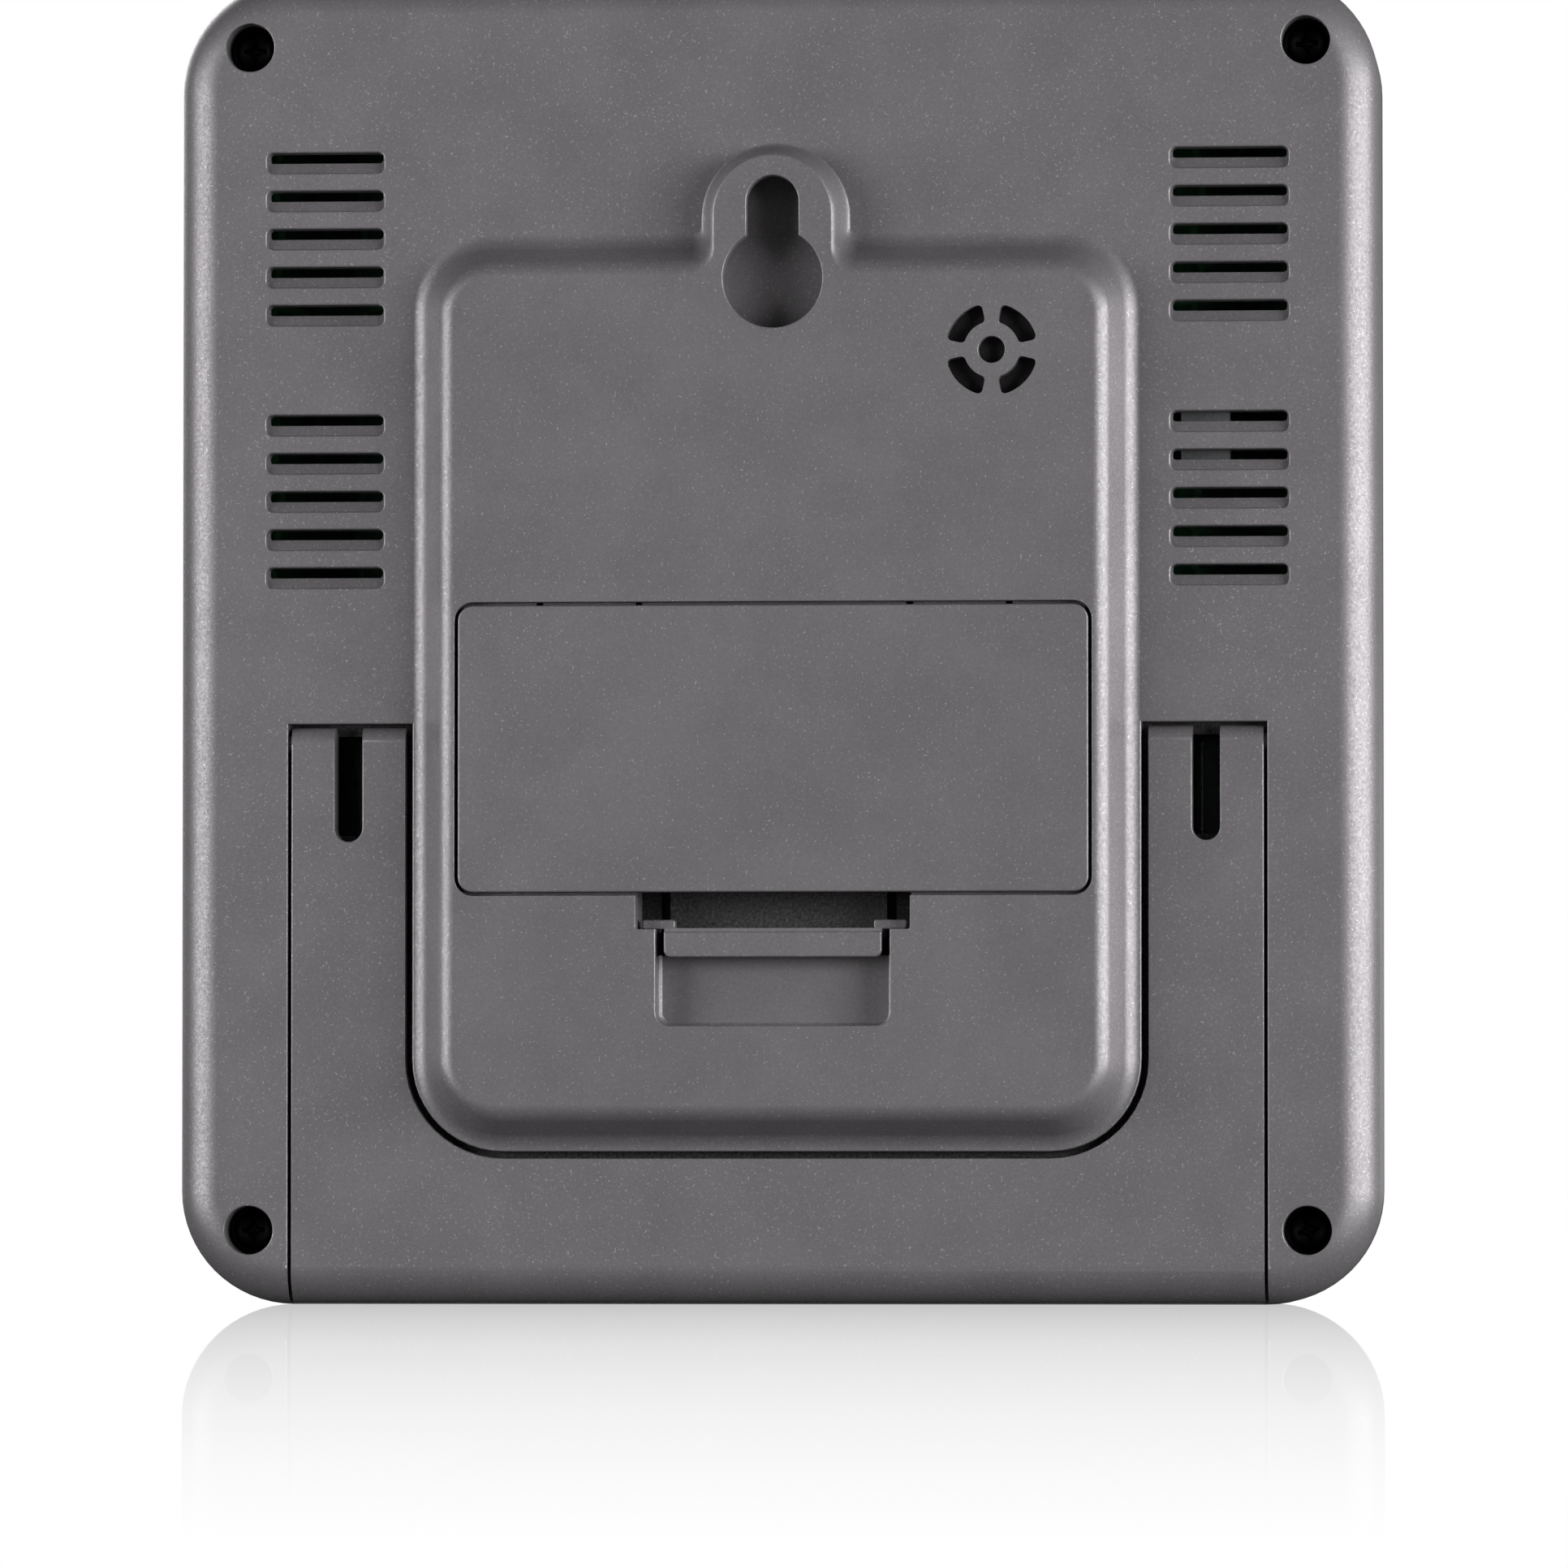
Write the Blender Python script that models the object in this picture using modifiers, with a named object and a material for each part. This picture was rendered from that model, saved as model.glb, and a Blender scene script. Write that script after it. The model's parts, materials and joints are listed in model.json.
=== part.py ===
"""A battery-powered wall and desk clock with a room sensor, as separate pieces with real joints.

The display faces -Y, the back with its stand faces +Y, +Z is up. The origin is at the middle of the
base. All sizes are in metres.
"""
from math import cos, pi, radians, sin

import bmesh
import bpy
from mathutils import Matrix, Vector

# --- overall sizes -------------------------------------------------------------------------------
WIDTH = 0.104
HEIGHT = 0.1152
BODY_DEPTH = 0.0175          # casing without the raised centre of the back
BOSS_RISE = 0.004            # how far the raised centre stands off the back
KEY_PROUD = 0.0005           # how far the keys stand off the front
CORNER = 0.0098
REAR_ROUND = 0.0035
FRONT_ROUND = 0.002
WALL = 0.002
POCKET_WALL = 0.0014         # round the latch's well and behind the finger recess
GAP = 0.0003                 # clearance between neighbouring pieces
OVERRUN = 0.001              # how far a cutter runs past what it cuts
HAIR = 0.00003               # keeps two joined faces from lying in one plane
ROUND_END_FLAT = 0.0001      # half the flat left at the middle of a round end
BEZEL_DEPTH = 0.0062         # front shell, from the front face to the seam

# --- raised centre, keyhole and grille ---------------------------------------------------------------
BOSS_BOTTOM = 0.0132
BOSS_TOP_INSET = 0.0226      # from the casing's top down to the raised centre
BOSS_CORNER = 0.0072
BOSS_STEPS = ((0.0012, 0.0003), (0.0008, 0.0010), (0.0004, 0.0013), (0.0005, 0.0009), (0.0011, 0.0005))
BOSS_WALL_RUN = sum(step[0] for step in BOSS_STEPS)
BOSS_SKIN = 0.0017
HANGER_HALF_WIDTH = 0.0065
HANGER_RISE = 0.0078         # how far the keyhole's tab rises above the raised centre
HANGER_STEPS = ((0.0003, 0.0004), (0.0003, 0.0020), (0.0002, 0.0010), (0.0007, 0.0006))
KEYHOLE_DROP = 0.0042        # from the raised centre's top edge down to the keyhole's round middle
KEYHOLE_RADIUS = 0.0043
SLOT_HALF_WIDTH = 0.00225
SLOT_RISE = 0.0066           # from the round middle up to the slot's end centre
KEYHOLE_DEPTH = 0.0055
HANGER_WALL = 0.0015
HANGER_POCKET_RISE = 0.001   # the pocket's end above the slot's end
HANGER_BLOCK = (0.0008, 0.0018, 0.0012)   # its side, bottom and top insets from the tab and the round hole
HANGER_BACK = 0.0016
GRILLE_X = -0.0189
GRILLE_DROP = 0.0105         # from the raised centre's top edge down to the grille's middle
GRILLE_OUTER = 0.004
GRILLE_INNER = 0.0024
GRILLE_HOLE = 0.00115
GRILLE_BRIDGE = 0.0007       # half the width of a bridge

# --- vents and screws ---------------------------------------------------------------------------
VENT_SIDE_INSET = 0.0128     # from the casing's side to a group's middle
VENT_TOP_INSETS = (0.0229, 0.0457)
VENT_COUNT = 5
VENT_PITCH = 0.00331
VENT_SIZE = (0.0102, 0.00177)
VENT_RECESS = 0.0009
VENT_WAY = (0.45, 0.97)      # the part of a slot's height that goes through the wall
SCREW_SIDE_INSET = 0.0062
SCREW_BOTTOM_INSET = 0.0064
SCREW_TOP_INSET = 0.0062
SCREW_WELL_RADIUS = 0.0021
SCREW_WELL_DEPTH = 0.0052
SCREW_HEAD = (0.00175, 0.0013)
SCREW_SHANK_RADIUS = 0.0009
SCREW_SHANK_LENGTH = 0.0075
SCREW_SEAT = 0.0023          # thickness under the screw's head
POST_RADIUS = 0.0024

# --- cells, door and latch -----------------------------------------------------------------------
CELL_RADIUS = 0.00525
CELL_LENGTH = 0.0445
CELL_NUB = (0.0019, 0.0009)
CELL_BED = 0.00035           # clearance round the cells
CONTACT_ROOM = 0.00335       # between a cell's mean end and the pocket's end wall
CONTACT_THICKNESS = 0.0005
CONTACT_EDGE = 0.0012        # from the cell's radius in to the plate's edge
TAIL_HALF_WIDTH = 0.001
TAIL_RISE = 0.0007           # from the pocket's floor to the tail
TAIL_REACH = 0.0024          # past the pocket's end wall
SPRING_TURNS = 3
SPRING_RADII = (0.0031, 0.0020)
SPRING_WIRE = 0.0003
BUTTON_RADIUS = 0.0015
DOOR_THICKNESS = 0.0017
DOOR_CORNER = 0.0013
DOOR_LEDGE = 0.0016
DOOR_RISE = 0.0223           # from the raised centre's bottom to the door's bottom edge
DOOR_LIP = 0.0022            # between the door's bottom edge and the cell pocket
DOOR_TOP_LIP = 0.0005
DOOR_RIM = (0.0015, 0.0010)  # the seat's rim under and over the door
DOOR_RIM_DEPTH = 0.0045
TRAY_TOP = 0.002             # from the door tabs up to the tray's top
DOOR_TURN = radians(70)
TRAY_WALL = 0.001
TAB_X = (0.012, 0.020)
TAB_THICKNESS = 0.0012
TAB_REACH = 0.0019
TAB_ROOM = (0.0006, 0.0024, 0.003)   # to the sides, in depth and down from the door's top
LATCH_HALF_WIDTH = 0.0094
LATCH_SHOULDER_HALF = 0.0114
LATCH_THICKNESS = 0.0009
LATCH_DROP = 0.0040          # from the door's bottom edge down to the latch's outer leg
LATCH_DEPTH = 0.008          # from the raised centre's top down to the U-bend
LATCH_LIP = (0.0022, 0.0010) # its height and thickness
LATCH_LIP_CORNER = 0.0006
LATCH_LIP_SINK = 0.0003      # below the raised centre's face
LATCH_LIP_RISE = 0.0006      # how far the lip reaches up past the leg's lower face
LATCH_RIB = (0.0040, 0.0024) # its two depths below the raised centre's face
LATCH_SHOULDER = (0.0003, 0.0011)   # its bottom and top above the leg
LATCH_WELL = (0.0008, 0.0014, 0.0013)   # beside, under and over the latch
LATCH_SLOT_SIDE = 0.00045
LATCH_SLOT_DEPTH = 0.0046
FINGER_HALF_WIDTH = 0.0101
FINGER_DROP = (0.0032, 0.0115)
FINGER_DEPTH = 0.0037
FINGER_CORNER = 0.0012

# --- stand ---------------------------------------------------------------------------------------
STAND_SIDE_INSET = 0.0099
STAND_TOP = 0.0502
STAND_THICKNESS = 0.0028
STAND_BOSS_GAP = 0.0006
STAND_LIFT = 0.0002          # its lower edge above what the clock stands on
STAND_SLOT_HALF = 0.0012
STAND_SLOT_LENGTH = 0.0096
PIN_RADIUS = 0.0008
PIN_LENGTH = 0.0014
PIN_PLAY = 0.00025
STAND_BACKING = 0.0018       # wall behind the stand

# --- display, keys and board ---------------------------------------------------------------------
WINDOW_SIDE = 0.006
WINDOW_TOP = 0.0046
WINDOW_BOTTOM = 0.0246
WINDOW_THICKNESS = 0.0009
WINDOW_LEDGE = 0.0045
WINDOW_CORNER = 0.002
WINDOW_SINK = 0.0001         # below the front face
VIEW_CORNER = 0.001
LCD_THICKNESS = 0.0013
LCD_MARGIN = 0.0006
ZEBRA_INSETS = (0.004, 0.0005, 0.0025)   # from the glass's side, and its bottom and top above the edge
GUIDE_INSET = 0.0025
LED_SIZE = (0.0018, 0.0036)
BOARD_THICKNESS = 0.0012
BOARD_MARGIN = 0.0035
BOARD_BOTTOM = 0.0098
BOARD_TOP_INSET = 0.0112
BOARD_GAP = 0.001            # between the cell tray and the board
BOARD_SCREW_INSET = 0.0023
BOARD_SCREW_END_INSETS = (0.0122, 0.006)   # from the board's bottom and top edges
BOARD_SCREW_HEAD = (0.0014, 0.0009)
BOARD_SCREW_SHANK = 0.0006
BOARD_SCREW_LENGTH = 0.003
BOARD_POST_RADIUS = 0.0019
BOARD_CORNER = 0.001
KEY_COUNT = 5
KEY_PITCH = 0.0165
KEY_Z = 0.013
KEY_SIZE = (0.010, 0.005)
KEY_CORNER = 0.001
KEY_FLANGE = 0.0008
KEY_FLANGE_THICKNESS = 0.0006
KEY_TRAVEL = 0.0005
SWITCH_SIZE = 0.0052
SWITCH_HEIGHT = 0.0014
PLUNGER_RADIUS = 0.0012
BUZZER_RADIUS = 0.006
BUZZER_HEIGHT = 0.0038
LEAD_RADIUS = 0.0005
LEAD_BOW = 0.0018
CHIP_X = 0.012
CHIP_DROP = 0.0196           # from the raised centre's top edge
CRYSTAL_X = 0.0205
CRYSTAL_RADIUS = 0.001
SENSOR_SIZE = (0.0042, 0.0022, 0.0052)
SENSOR_SHIFT = (0.0022, 0.0055)   # from the lower vent group's middle
SENSOR_WALL_GAP = 0.0012
SENSOR_LEGS = (0.0012, 0.00025)   # half their spacing and half their width

# --- places worked out from the sizes above ----------------------------------------------------------
Y_KEYS = -(KEY_PROUD + BODY_DEPTH + BOSS_RISE) / 2
Y_FACE = Y_KEYS + KEY_PROUD
Y_REAR = Y_FACE + BODY_DEPTH
Y_TOP = Y_REAR + BOSS_RISE
Y_SEAM = Y_FACE + BEZEL_DEPTH
Y_CELL = Y_TOP - DOOR_THICKNESS - 0.1 * CELL_RADIUS - CELL_RADIUS
Y_POCKET = Y_CELL - CELL_RADIUS - CELL_BED
Y_TRAY = Y_POCKET - TRAY_WALL
Y_BOARD_REAR = Y_TRAY - BOARD_GAP
Y_BOARD_FRONT = Y_BOARD_REAR - BOARD_THICKNESS
Y_WINDOW = Y_FACE + WINDOW_SINK
Y_WINDOW_SEAT = Y_WINDOW + WINDOW_THICKNESS + GAP
Y_LCD = Y_FACE + WALL + GAP
Y_LCD_REAR = Y_LCD + LCD_THICKNESS

POCKET_HALF = CELL_LENGTH / 2 + CONTACT_ROOM
POCKET_HEIGHT = 4 * CELL_RADIUS + 0.001
DOOR_HALF = POCKET_HALF + DOOR_LEDGE
DOOR_HEIGHT = DOOR_LIP + POCKET_HEIGHT + DOOR_TOP_LIP
DOOR_BOTTOM = BOSS_BOTTOM + DOOR_RISE
DOOR_TOP = DOOR_BOTTOM + DOOR_HEIGHT
POCKET_BOTTOM = DOOR_BOTTOM + DOOR_LIP
POCKET_TOP = POCKET_BOTTOM + POCKET_HEIGHT
CELL_Z = (POCKET_TOP - CELL_BED - CELL_RADIUS, POCKET_BOTTOM + CELL_BED + CELL_RADIUS)
BOSS_HALF = DOOR_HALF + 0.0004 + BOSS_WALL_RUN
BOSS_TOP = HEIGHT - BOSS_TOP_INSET
KEYHOLE_Z = BOSS_TOP - KEYHOLE_DROP
SLOT_END_Z = KEYHOLE_Z + SLOT_RISE
GRILLE_Z = BOSS_TOP - GRILLE_DROP
LATCH_TOP = DOOR_BOTTOM - LATCH_DROP + LATCH_THICKNESS
LATCH_LEG_BOTTOM = LATCH_TOP - LATCH_THICKNESS
Y_LATCH = Y_TOP - LATCH_DEPTH
LATCH_AXIS = Vector((0, Y_LATCH + LATCH_THICKNESS, DOOR_BOTTOM + 0.0006))
DOOR_AXIS = Vector((0, Y_TOP, DOOR_TOP + GAP / 2))
STAND_HALF = WIDTH / 2 - STAND_SIDE_INSET
Y_STAND_FLOOR = Y_REAR - STAND_THICKNESS
STAND_AXIS = Vector((0, Y_REAR - STAND_THICKNESS / 2, STAND_TOP - GAP - STAND_THICKNESS / 2))
STAND_LEG_X = (STAND_HALF + BOSS_HALF + STAND_BOSS_GAP) / 2
SCREW_SPOTS = [(side * (WIDTH / 2 - SCREW_SIDE_INSET), z)
               for z in (HEIGHT - SCREW_TOP_INSET, SCREW_BOTTOM_INSET) for side in (-1, 1)]
Y_WELL = Y_REAR - SCREW_WELL_DEPTH
Y_POST_END = Y_WELL - SCREW_SEAT
WINDOW_HALF = WIDTH / 2 - WINDOW_SIDE
WINDOW_HIGH = HEIGHT - WINDOW_TOP
VIEW_HALF = WINDOW_HALF - WINDOW_LEDGE
LCD_HALF = VIEW_HALF + LCD_MARGIN
LCD_LOW = WINDOW_BOTTOM + WINDOW_LEDGE - LCD_MARGIN
LCD_HIGH = WINDOW_HIGH - WINDOW_LEDGE + LCD_MARGIN
BOARD_HALF = WIDTH / 2 - BOARD_MARGIN
BOARD_TOP = HEIGHT - BOARD_TOP_INSET
BOARD_SCREW_SPOTS = [(side * (BOARD_HALF - BOARD_SCREW_INSET), z)
                     for z in (BOARD_BOTTOM + BOARD_SCREW_END_INSETS[0], BOARD_TOP - BOARD_SCREW_END_INSETS[1])
                     for side in (-1, 1)]
KEY_X = [(index - (KEY_COUNT - 1) / 2) * KEY_PITCH for index in range(KEY_COUNT)]
Y_KEY_BACK = Y_FACE + WALL + GAP + KEY_FLANGE_THICKNESS
Y_SWITCH = Y_BOARD_FRONT - GAP - SWITCH_HEIGHT
Y_BUZZER = Y_TOP - BOSS_SKIN - GAP
Y_LATCH_LIP = Y_TOP - LATCH_LIP_SINK
CHIP_Z = BOSS_TOP - CHIP_DROP
TAIL_Y = Y_POCKET + TAIL_RISE

TOWARDS = {"+Y": (-pi / 2, 0, 0), "-Y": (pi / 2, 0, 0), "+X": (0, pi / 2, 0), "-X": (0, -pi / 2, 0)}
ROUND_STEPS = 24
PARTS = "wall_desk_clock"
CUTTERS = "cutters"


# --- helpers -----------------------------------------------------------------------------------------
def clear_scene():
    for thing in list(bpy.data.objects):
        bpy.data.objects.remove(thing)
    for name in (PARTS, CUTTERS):
        bpy.context.scene.collection.children.link(bpy.data.collections.new(name))


def material(name, colour, roughness, metallic=0.0):
    made = bpy.data.materials.new(name)
    made.use_nodes = True
    shader = made.node_tree.nodes["Principled BSDF"]
    shader.inputs["Base Color"].default_value = (*colour, 1)
    shader.inputs["Roughness"].default_value = roughness
    shader.inputs["Metallic"].default_value = metallic
    return made


def add(name, data, look, place=(0, 0, 0)):
    """A new object: a part when it has a look, a cutter or guide when it has none."""
    thing = bpy.data.objects.new(name, data)
    thing.location = place
    bpy.data.collections[PARTS if look else CUTTERS].objects.link(thing)
    if look:
        data.materials.append(look)
    else:
        thing.hide_render = True
        thing.display_type = "WIRE"
    return thing


def mesh_from(bm, name):
    mesh = bpy.data.meshes.new(name)
    bm.to_mesh(mesh)
    bm.free()
    return mesh


def rim_edges(bm, toward):
    """The outer edges of the flat end that faces -Y (toward -1) or +Y (toward 1)."""
    ends = [face for face in bm.faces if face.normal.y * toward > 0.99]
    return {edge for face in ends for edge in face.edges}


def block(name, low, high, look=None, corner=0.0, steps=4, which="all", rear=0.0, front=0.0, insets=()):
    """A block between two corners. Its edges along Y are rounded by corner (all, the top or the
    bottom ones), its rear and front rims by rear and front, and insets raise its rear end in rings."""
    low, high = Vector(low), Vector(high)
    size = high - low
    bm = bmesh.new()
    bmesh.ops.create_cube(bm, size=1)
    bmesh.ops.scale(bm, vec=size, verts=bm.verts)
    if corner:
        along = [edge for edge in bm.edges if abs(edge.verts[0].co.y - edge.verts[1].co.y) > size.y / 2]
        keep = {"all": lambda z: True, "top": lambda z: z > 0, "bottom": lambda z: z < 0}[which]
        along = [edge for edge in along if keep(edge.verts[0].co.z)]
        bmesh.ops.bevel(bm, geom=along, offset=corner, segments=steps, profile=0.5, affect="EDGES")
    for radius, toward in ((rear, 1), (front, -1)):
        if radius:
            bm.normal_update()
            bmesh.ops.bevel(bm, geom=list(rim_edges(bm, toward)), offset=radius, segments=4,
                            profile=0.5, affect="EDGES")
    for run, rise in insets:
        bm.normal_update()
        top = max(bm.faces, key=lambda face: face.normal.y * 10 + face.calc_center_median().y)
        bmesh.ops.inset_region(bm, faces=[top], thickness=run, depth=0, use_even_offset=True)
        bmesh.ops.translate(bm, vec=(0, rise, 0), verts=top.verts)
    return add(name, mesh_from(bm, name), look, (low + high) / 2)


def rod(name, radius, start, length, toward="+Y", look=None, steps=ROUND_STEPS):
    """A cylinder that starts at a point and runs one way."""
    bm = bmesh.new()
    bmesh.ops.create_cone(bm, cap_ends=True, segments=steps, radius1=radius, radius2=radius, depth=length)
    bmesh.ops.translate(bm, vec=(0, 0, length / 2), verts=bm.verts)
    mesh = mesh_from(bm, name)
    thing = add(name, mesh, look, start)
    thing.rotation_euler = TOWARDS[toward]
    mesh.shade_smooth()
    mesh.set_sharp_from_angle(angle=radians(40))
    return thing


def turned(name, profile, start, toward, look, steps=ROUND_STEPS):
    """A turned piece: the profile's (radius, height) points run from its top down its outer side."""
    mesh = bpy.data.meshes.new(name)
    edges = [(index, index + 1) for index in range(len(profile) - 1)]
    mesh.from_pydata([(radius, 0, height) for radius, height in profile], edges, [])
    thing = add(name, mesh, look, start)
    thing.rotation_euler = TOWARDS[toward]
    screw = thing.modifiers.new("turn", "SCREW")
    screw.steps = screw.render_steps = steps
    screw.use_merge_vertices = True
    screw.merge_threshold = 0.00001
    screw.use_smooth_shade = True
    return thing


def wire(name, points, radius, look):
    """A round wire along a list of points."""
    curve = bpy.data.curves.new(name, "CURVE")
    curve.dimensions = "3D"
    curve.bevel_depth = radius
    curve.bevel_resolution = 2
    curve.use_fill_caps = True
    spline = curve.splines.new("POLY")
    spline.points.add(len(points) - 1)
    for point, place in zip(spline.points, points):
        point.co = (*place, 1)
    return add(name, curve, look)


def smooth_run(points, steps):
    """Points along a smooth curve that starts and ends straight, from four guide points."""
    a, b, c, d = (Vector(point) for point in points)
    run = []
    for index in range(steps + 1):
        t = index / steps
        run.append(a * (1 - t) ** 3 + b * 3 * t * (1 - t) ** 2 + c * 3 * t * t * (1 - t) + d * t ** 3)
    return run


def flat_shape(name, outline, y_low, y_high):
    """A closed outline of (x, z) points as a cutter between two depths."""
    bm = bmesh.new()
    face = bm.faces.new([bm.verts.new((x, y_low, z)) for x, z in outline])
    raised = bmesh.ops.extrude_face_region(bm, geom=[face])
    moved = [item for item in raised["geom"] if isinstance(item, bmesh.types.BMVert)]
    bmesh.ops.translate(bm, vec=(0, y_high - y_low, 0), verts=moved)
    bmesh.ops.recalc_face_normals(bm, faces=bm.faces)
    return add(name, mesh_from(bm, name), None)


def boolean(target, operation, tools):
    for tool in tools:
        step = target.modifiers.new(tool.name, "BOOLEAN")
        step.operation = operation
        step.solver = "EXACT"
        step.object = tool


def cut(target, *tools):
    boolean(target, "DIFFERENCE", tools)


def join(target, *tools):
    boolean(target, "UNION", tools)


def to_mesh(curve_object):
    """The same wire as a mesh with closed ends, so that it can be joined to another piece."""
    bpy.context.view_layer.update()
    graph = bpy.context.evaluated_depsgraph_get()
    mesh = bpy.data.meshes.new_from_object(curve_object.evaluated_get(graph))
    bm = bmesh.new()
    bm.from_mesh(mesh)
    bmesh.ops.remove_doubles(bm, verts=bm.verts, dist=0.000001)
    bm.to_mesh(mesh)
    bm.free()
    name = curve_object.name
    matrix = curve_object.matrix_world.copy()
    bpy.data.objects.remove(curve_object)
    thing = add(name, mesh, None)
    thing.matrix_world = matrix
    return thing


def pivot(name, place, *pieces):
    """An empty on a joint's axis that carries the pieces which move about it."""
    empty = bpy.data.objects.new(name, None)
    empty.location = place
    bpy.data.collections[PARTS].objects.link(empty)
    for piece in pieces:
        piece.parent = empty
        piece.matrix_parent_inverse = Matrix.Translation(-Vector(place))
    return empty


# --- casing ------------------------------------------------------------------------------------------
def boss_foot(name, grow, y_low, y_high):
    """The outline of the raised centre's foot as a plain block, for what fits round it."""
    return block(name, (-BOSS_HALF - grow, y_low, BOSS_BOTTOM - grow),
                 (BOSS_HALF + grow, y_high, BOSS_TOP + grow), corner=BOSS_CORNER + grow, steps=6)


def hanger_tab():
    """The round-topped tab that holds the keyhole, with its foot inside the raised centre."""
    half = HANGER_HALF_WIDTH
    return block("hanger_tab", (-half, Y_REAR - WALL * 0.4, KEYHOLE_Z - half),
                 (half, Y_REAR - HAIR, BOSS_TOP + HANGER_RISE), corner=half - ROUND_END_FLAT, steps=8,
                 insets=HANGER_STEPS)


def keyhole_tools():
    """The keyhole's through cut and the pocket behind it that takes the hook's head."""
    pocket_half = HANGER_HALF_WIDTH - HANGER_WALL - 0.0004
    floor = Y_TOP - KEYHOLE_DEPTH
    circle = rod("keyhole_circle", KEYHOLE_RADIUS, (0, floor + OVERRUN, KEYHOLE_Z), KEYHOLE_DEPTH)
    slot = block("keyhole_slot", (-SLOT_HALF_WIDTH, floor + OVERRUN, KEYHOLE_Z),
                 (SLOT_HALF_WIDTH, Y_TOP + OVERRUN, SLOT_END_Z + SLOT_HALF_WIDTH),
                 corner=SLOT_HALF_WIDTH - ROUND_END_FLAT, steps=6, which="top")
    pocket = block("keyhole_pocket", (-pocket_half, floor, KEYHOLE_Z - KEYHOLE_RADIUS - GAP),
                   (pocket_half, Y_TOP - BOSS_SKIN, SLOT_END_Z + SLOT_HALF_WIDTH + HANGER_POCKET_RISE),
                   corner=pocket_half - ROUND_END_FLAT, steps=6)
    return circle, slot, pocket


def grille_tools():
    """Four bowed slots with bridges between them, and the hole in the middle."""
    tools = [rod("grille_middle", GRILLE_HOLE, (GRILLE_X, Y_TOP - BOSS_SKIN - OVERRUN, GRILLE_Z),
                 BOSS_SKIN + 2 * OVERRUN, steps=16)]
    arc_steps = 5
    for quarter in range(4):
        outline = []
        for radius, order in ((GRILLE_OUTER, 1), (GRILLE_INNER, -1)):
            bridge_angle = GRILLE_BRIDGE / radius
            span = pi / 2 - 2 * bridge_angle
            turns = [quarter * pi / 2 + bridge_angle + span * index / arc_steps
                     for index in range(arc_steps + 1)]
            outline += [(GRILLE_X + radius * cos(turn), GRILLE_Z + radius * sin(turn))
                        for turn in turns[::order]]
        tools.append(flat_shape(f"grille_slot_{quarter + 1}", outline,
                                Y_TOP - BOSS_SKIN - OVERRUN, Y_TOP + OVERRUN))
    return tools


def vent_tool(name, size_x, low_share, high_share, y_low, y_high):
    """All vent slots as one cutter of separate boxes, each over a share of the slot's height."""
    bm = bmesh.new()
    for side in (-1, 1):
        for top_inset in VENT_TOP_INSETS:
            for index in range(VENT_COUNT):
                middle = HEIGHT - top_inset + (index - (VENT_COUNT - 1) / 2) * VENT_PITCH
                low = middle + (low_share - 0.5) * VENT_SIZE[1]
                high = middle + (high_share - 0.5) * VENT_SIZE[1]
                x = side * (WIDTH / 2 - VENT_SIDE_INSET)
                place = Matrix.Translation((x, (y_low + y_high) / 2, (low + high) / 2))
                scale = Matrix.Diagonal((size_x, y_high - y_low, high - low, 1))
                bmesh.ops.create_cube(bm, size=1, matrix=place @ scale)
    return add(name, mesh_from(bm, name), None)


def stand_space(name, side_gap, floor, top):
    """The U-shaped room that the stand lies in: a block less the raised centre's foot."""
    half = STAND_HALF + side_gap
    space = block(name, (-half, floor, -OVERRUN), (half, Y_REAR + OVERRUN, top))
    cut(space, boss_foot(name + "_foot", 0.0, floor - OVERRUN, Y_REAR + 2 * OVERRUN))
    return space


def door_seat(cover):
    """The opening for the door, the cell pocket, and the rooms for its tabs and latch."""
    seat = Y_TOP - DOOR_THICKNESS - GAP
    top = Y_TOP + OVERRUN
    well_side, well_under, well_over = LATCH_WELL
    well = LATCH_HALF_WIDTH + well_side
    shoulder = LATCH_SHOULDER_HALF + LATCH_SLOT_SIDE
    room_side, room_depth, room_drop = TAB_ROOM
    finger_top = DOOR_BOTTOM - FINGER_DROP[0]
    cut(cover,
        block("door_opening", (-DOOR_HALF - GAP, seat, DOOR_BOTTOM - GAP),
              (DOOR_HALF + GAP, top, DOOR_TOP + GAP), corner=DOOR_CORNER + GAP),
        block("cell_pocket", (-POCKET_HALF, Y_POCKET, POCKET_BOTTOM), (POCKET_HALF, seat + GAP, POCKET_TOP)),
        block("latch_well", (-well, Y_LATCH - GAP * 2, LATCH_LEG_BOTTOM - well_under),
              (well, seat + GAP, DOOR_BOTTOM + well_over)),
        block("latch_slot", (-shoulder, Y_TOP - LATCH_SLOT_DEPTH, finger_top),
              (shoulder, top, DOOR_BOTTOM + GAP)),
        block("finger_recess", (-FINGER_HALF_WIDTH, Y_TOP - FINGER_DEPTH, DOOR_BOTTOM - FINGER_DROP[1]),
              (FINGER_HALF_WIDTH, top, finger_top + GAP), corner=FINGER_CORNER, which="bottom"))
    for side in (-1, 1):
        x_low, x_high = sorted((side * (TAB_X[0] - room_side), side * (TAB_X[1] + room_side)))
        cut(cover, block(f"tab_room_{side}", (x_low, seat - room_depth, DOOR_TOP - room_drop),
                         (x_high, seat + GAP / 2, DOOR_TOP + TAB_REACH + 2 * GAP)))
    tail_end = POCKET_HALF + 3 * TRAY_WALL
    tail_room = TAIL_HALF_WIDTH + GAP
    tail_high = TAIL_Y + CONTACT_THICKNESS + GAP * 5 / 3
    for index, z in enumerate(CELL_Z):
        cut(cover, block(f"contact_tail_slot_{index}", (-tail_end, Y_POCKET + GAP, z - tail_room),
                         (tail_end, tail_high, z + tail_room)))


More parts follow.
